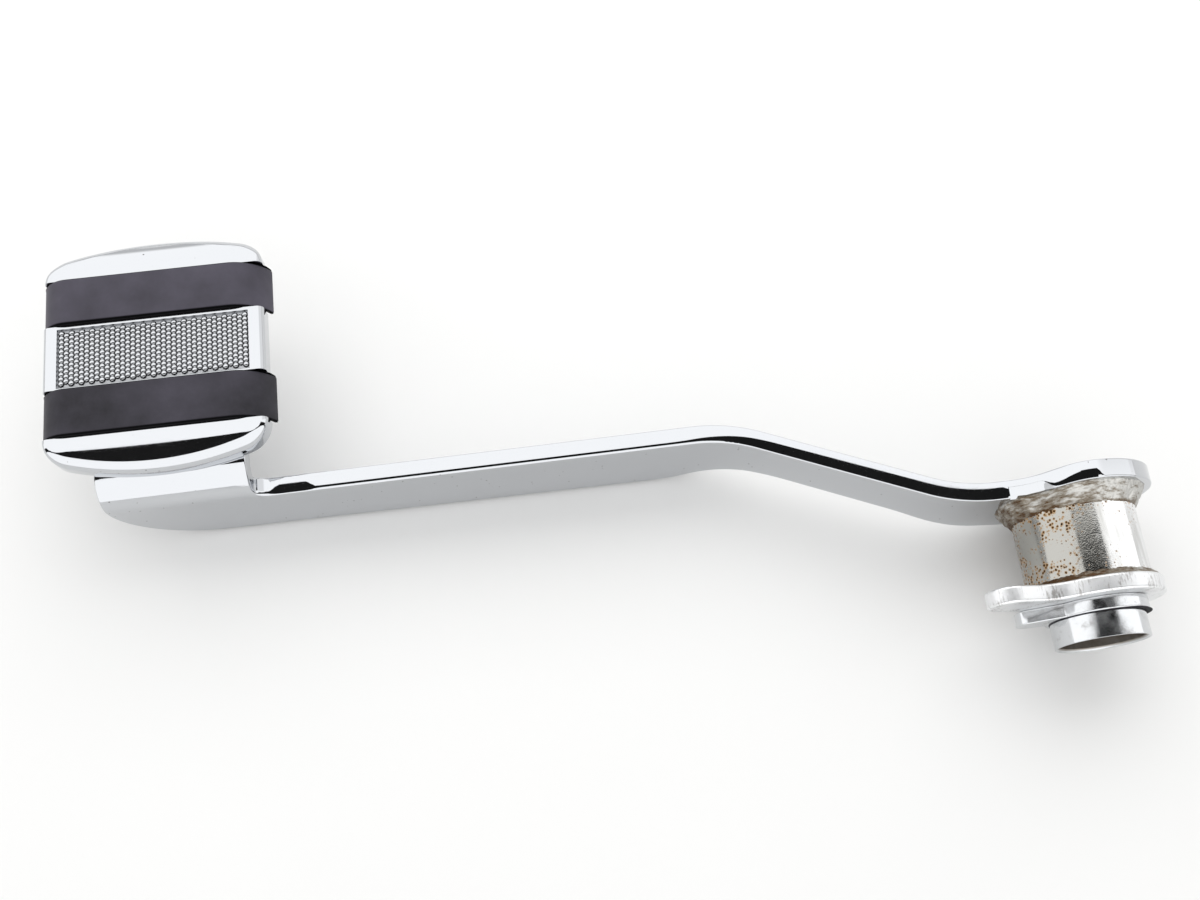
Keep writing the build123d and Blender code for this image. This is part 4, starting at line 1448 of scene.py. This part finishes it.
class PEDAL_OT_fixings(bpy.types.Operator):
    """Gives the base plate, studs, washers and nuts their bright steel"""
    bl_idname = "pedal.fixings"
    bl_label = "Fixings"

    def execute(self, context):
        steel = bright_steel()
        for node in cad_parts.values():
            if not node.hide_render:
                node.data.materials.clear()
                node.data.materials.append(steel)
        return {"FINISHED"}


# Stage

# The floor's gap below the lever and how much of its colour its darker patches keep
FLOOR_GAP = 0.02 * MM
FLOOR_TONE = 0.985

# The camera's sensor in millimetres, and the nearest that it sees
SENSOR_WIDTH = 36
NEAREST = 10 * MM


class PEDAL_OT_stage(bpy.types.Operator):
    """Sets the floor, the light and the camera"""
    bl_idname = "pedal.stage"
    bl_label = "Stage"

    def execute(self, context):
        scene = context.scene
        sizes = scene.pedal_stage
        self.floor(scene, sizes)
        self.light(scene, sizes)
        self.room(scene, sizes)
        self.camera(scene, sizes)
        scene.view_settings.view_transform = "Standard"
        return {"FINISHED"}

    def floor(self, scene, sizes):
        """A wide matt floor just under the lever, a shade uneven so that it isn't dead flat."""
        material, tree, place = new_material("Pale painted floor")
        tone = add_node(tree, "ShaderNodeTexNoise", {"Vector": place, "Scale": per(60), "Detail": 3})
        paint = scene.pedal_finishes.floor
        worn = [channel * FLOOR_TONE for channel in paint]
        tint = add_node(
            tree, "ShaderNodeMix", {"Factor": tone, "A": rgba(paint), "B": rgba(worn)}, data_type="RGBA")
        shader = add_node(
            tree, "ShaderNodeBsdfPrincipled",
            {"Base Color": tint, "Roughness": 0.6, "Specular IOR Level": 0.2})
        add_node(tree, "ShaderNodeOutputMaterial", {"Surface": shader})
        reach = sizes.floor_reach
        level = LEVER_LOW.z - FLOOR_GAP
        ends = [(-reach, -reach), (reach, -reach), (reach, reach), (-reach, reach)]
        corners = [(x, y, level) for x, y in ends]
        mesh = bpy.data.meshes.new("floor")
        mesh.from_pydata(corners, [], [(0, 1, 2, 3)])
        mesh.materials.append(material)
        obj = bpy.data.objects.new("floor", mesh)
        scene.collection.objects.link(obj)

    def light(self, scene, sizes):
        """A big softbox above and behind, which lights the scene but isn't mirrored in the metal."""
        lamp = bpy.data.lights.new("softbox", "AREA")
        lamp.shape = "RECTANGLE"
        lamp.size = sizes.lamp_long
        lamp.size_y = sizes.lamp_wide
        lamp.energy = sizes.softbox
        obj = bpy.data.objects.new("softbox", lamp)
        obj.location = sizes.lamp_place
        ahead = Vector(sizes.lamp_aim) - Vector(sizes.lamp_place)
        obj.rotation_euler = ahead.to_track_quat("-Z", "Y").to_euler()
        obj.visible_glossy = False
        scene.collection.objects.link(obj)

    def room(self, scene, sizes):
        """White all round, with the dark opening overhead that bright metal shows."""
        world = scene.world or bpy.data.worlds.new("room")
        scene.world = world
        world.use_nodes = True
        tree = world.node_tree
        tree.nodes.clear()
        ray = add_node(tree, "ShaderNodeTexCoord").outputs["Generated"]
        way = add_node(tree, "ShaderNodeSeparateXYZ", {"Vector": ray})
        # A dark opening overhead, narrower towards +Y, which only mirrors show
        aside = add_node(tree, "ShaderNodeMath", {0: way.outputs["X"]}, operation="ABSOLUTE")
        along = add_node(tree, "ShaderNodeMath", {0: way.outputs["Y"]}, operation="ABSOLUTE")
        reach = add_node(
            tree, "ShaderNodeMapRange",
            {"Value": way.outputs["Y"], "From Min": 0.17, "From Max": 0.02, "To Min": 0.38,
             "To Max": 1.02})
        narrow = add_node(tree, "ShaderNodeMath", {0: aside, 1: reach}, operation="LESS_THAN")
        short = add_node(tree, "ShaderNodeMath", {0: along, 1: 0.21}, operation="LESS_THAN")
        above = add_node(tree, "ShaderNodeMath", {0: way.outputs["Z"], 1: 0}, operation="GREATER_THAN")
        spot = add_node(tree, "ShaderNodeMath", {0: narrow, 1: short}, operation="MULTIPLY")
        gap = add_node(tree, "ShaderNodeMath", {0: spot, 1: above}, operation="MULTIPLY")
        rays = add_node(tree, "ShaderNodeLightPath")
        mirrored = add_node(
            tree, "ShaderNodeMath", {0: gap, 1: rays.outputs["Is Glossy Ray"]}, operation="MULTIPLY")
        # White where it is seen, and the fill's level where it only lights
        seen = add_node(
            tree, "ShaderNodeMath",
            {0: rays.outputs["Is Camera Ray"], 1: rays.outputs["Is Glossy Ray"]}, operation="MAXIMUM")
        shown = add_node(
            tree, "ShaderNodeMath",
            {0: seen, 1: rays.outputs["Is Transmission Ray"]}, operation="MAXIMUM")
        level = add_node(tree, "ShaderNodeMapRange", {"Value": shown, "To Min": sizes.fill, "To Max": 1})
        dark = add_node(tree, "ShaderNodeMapRange", {"Value": mirrored, "To Min": 1, "To Max": 0.01})
        # A grey panel on the right and a darker band low down, both on the +Y side and only in mirrors
        behind = add_node(
            tree, "ShaderNodeMapRange",
            {"Value": way.outputs["Y"], "From Min": 0.2, "From Max": 0.3},
            interpolation_type="SMOOTHSTEP")
        right = add_node(
            tree, "ShaderNodeMapRange",
            {"Value": way.outputs["X"], "From Min": 0.42, "From Max": 0.62},
            interpolation_type="SMOOTHSTEP")
        panel = add_node(tree, "ShaderNodeMath", {0: behind, 1: right}, operation="MULTIPLY")
        low = add_node(
            tree, "ShaderNodeMapRange",
            {"Value": way.outputs["Z"], "From Min": 0.2, "From Max": 0.1, "To Max": 2})
        wall = add_node(tree, "ShaderNodeMath", {0: behind, 1: low}, operation="MULTIPLY")
        soft = add_node(tree, "ShaderNodeMath", {0: panel, 1: wall}, operation="MAXIMUM")
        grey = add_node(
            tree, "ShaderNodeMath", {0: soft, 1: rays.outputs["Is Glossy Ray"]}, operation="MULTIPLY")
        shade = add_node(
            tree, "ShaderNodeMapRange", {"Value": grey, "From Max": 2, "To Min": 1, "To Max": 0.5})
        lit = add_node(tree, "ShaderNodeMath", {0: level, 1: shade}, operation="MULTIPLY")
        # Mirrors show the room brighter
        glare = add_node(
            tree, "ShaderNodeMapRange",
            {"Value": rays.outputs["Is Glossy Ray"], "To Min": 1, "To Max": sizes.glare})
        bright = add_node(tree, "ShaderNodeMath", {0: lit, 1: glare}, operation="MULTIPLY")
        strength = add_node(tree, "ShaderNodeMath", {0: bright, 1: dark}, operation="MULTIPLY")
        white = add_node(tree, "ShaderNodeBackground", {"Color": (1, 1, 1, 1), "Strength": strength})
        add_node(tree, "ShaderNodeOutputWorld", {"Surface": white})

    def camera(self, scene, sizes):
        """The camera at the photograph's angle."""
        data = bpy.data.cameras.new("camera")
        data.lens = sizes.lens
        data.sensor_width = SENSOR_WIDTH
        data.clip_start = NEAREST
        obj = bpy.data.objects.new("camera", data)
        ahead, up = Vector(sizes.ahead).normalized(), Vector(sizes.up).normalized()
        right = ahead.cross(up)
        turn = Matrix((right, up, -ahead)).transposed().to_4x4()
        obj.matrix_world = Matrix.Translation(Vector(sizes.eye)) @ turn
        scene.collection.objects.link(obj)
        scene.camera = obj


OPERATORS = (
    PEDAL_OT_lever, PEDAL_OT_hub, PEDAL_OT_link_plate, PEDAL_OT_stop_collar, PEDAL_OT_welds,
    PEDAL_OT_pad_shell, PEDAL_OT_rubber_strips, PEDAL_OT_tread, PEDAL_OT_fixings, PEDAL_OT_stage)


class PEDAL_PT_builder(bpy.types.Panel):
    """Lists the steps that build the pedal"""
    bl_idname = "PEDAL_PT_builder"
    bl_label = "Rear brake pedal"
    bl_space_type = "VIEW_3D"
    bl_region_type = "UI"
    bl_category = "Pedal"

    def draw(self, context):
        for operator in OPERATORS:
            self.layout.operator(operator.bl_idname)


GROUPS = {
    "pedal_lever": LeverSizes,
    "pedal_hub": HubSizes,
    "pedal_pad": PadSizes,
    "pedal_finishes": Finishes,
    "pedal_stage": StageSizes,
}


def register():
    """Registers the properties, operators and panel."""
    for name, group in GROUPS.items():
        bpy.utils.register_class(group)
        setattr(bpy.types.Scene, name, bpy.props.PointerProperty(type=group))
    for cls in (*OPERATORS, PEDAL_PT_builder):
        bpy.utils.register_class(cls)


def unregister():
    """Takes the panel, operators and properties out again."""
    for cls in (PEDAL_PT_builder, *reversed(OPERATORS)):
        bpy.utils.unregister_class(cls)
    for name, group in GROUPS.items():
        delattr(bpy.types.Scene, name)
        bpy.utils.unregister_class(group)


def main():
    """Builds the pedal and its stage."""
    register()
    bpy.ops.pedal.lever()
    bpy.ops.pedal.hub()
    bpy.ops.pedal.link_plate()
    bpy.ops.pedal.stop_collar()
    bpy.ops.pedal.welds()
    bpy.ops.pedal.pad_shell()
    bpy.ops.pedal.rubber_strips()
    bpy.ops.pedal.tread()
    bpy.ops.pedal.fixings()
    bpy.ops.pedal.stage()


if __name__ == "__main__":
    main()
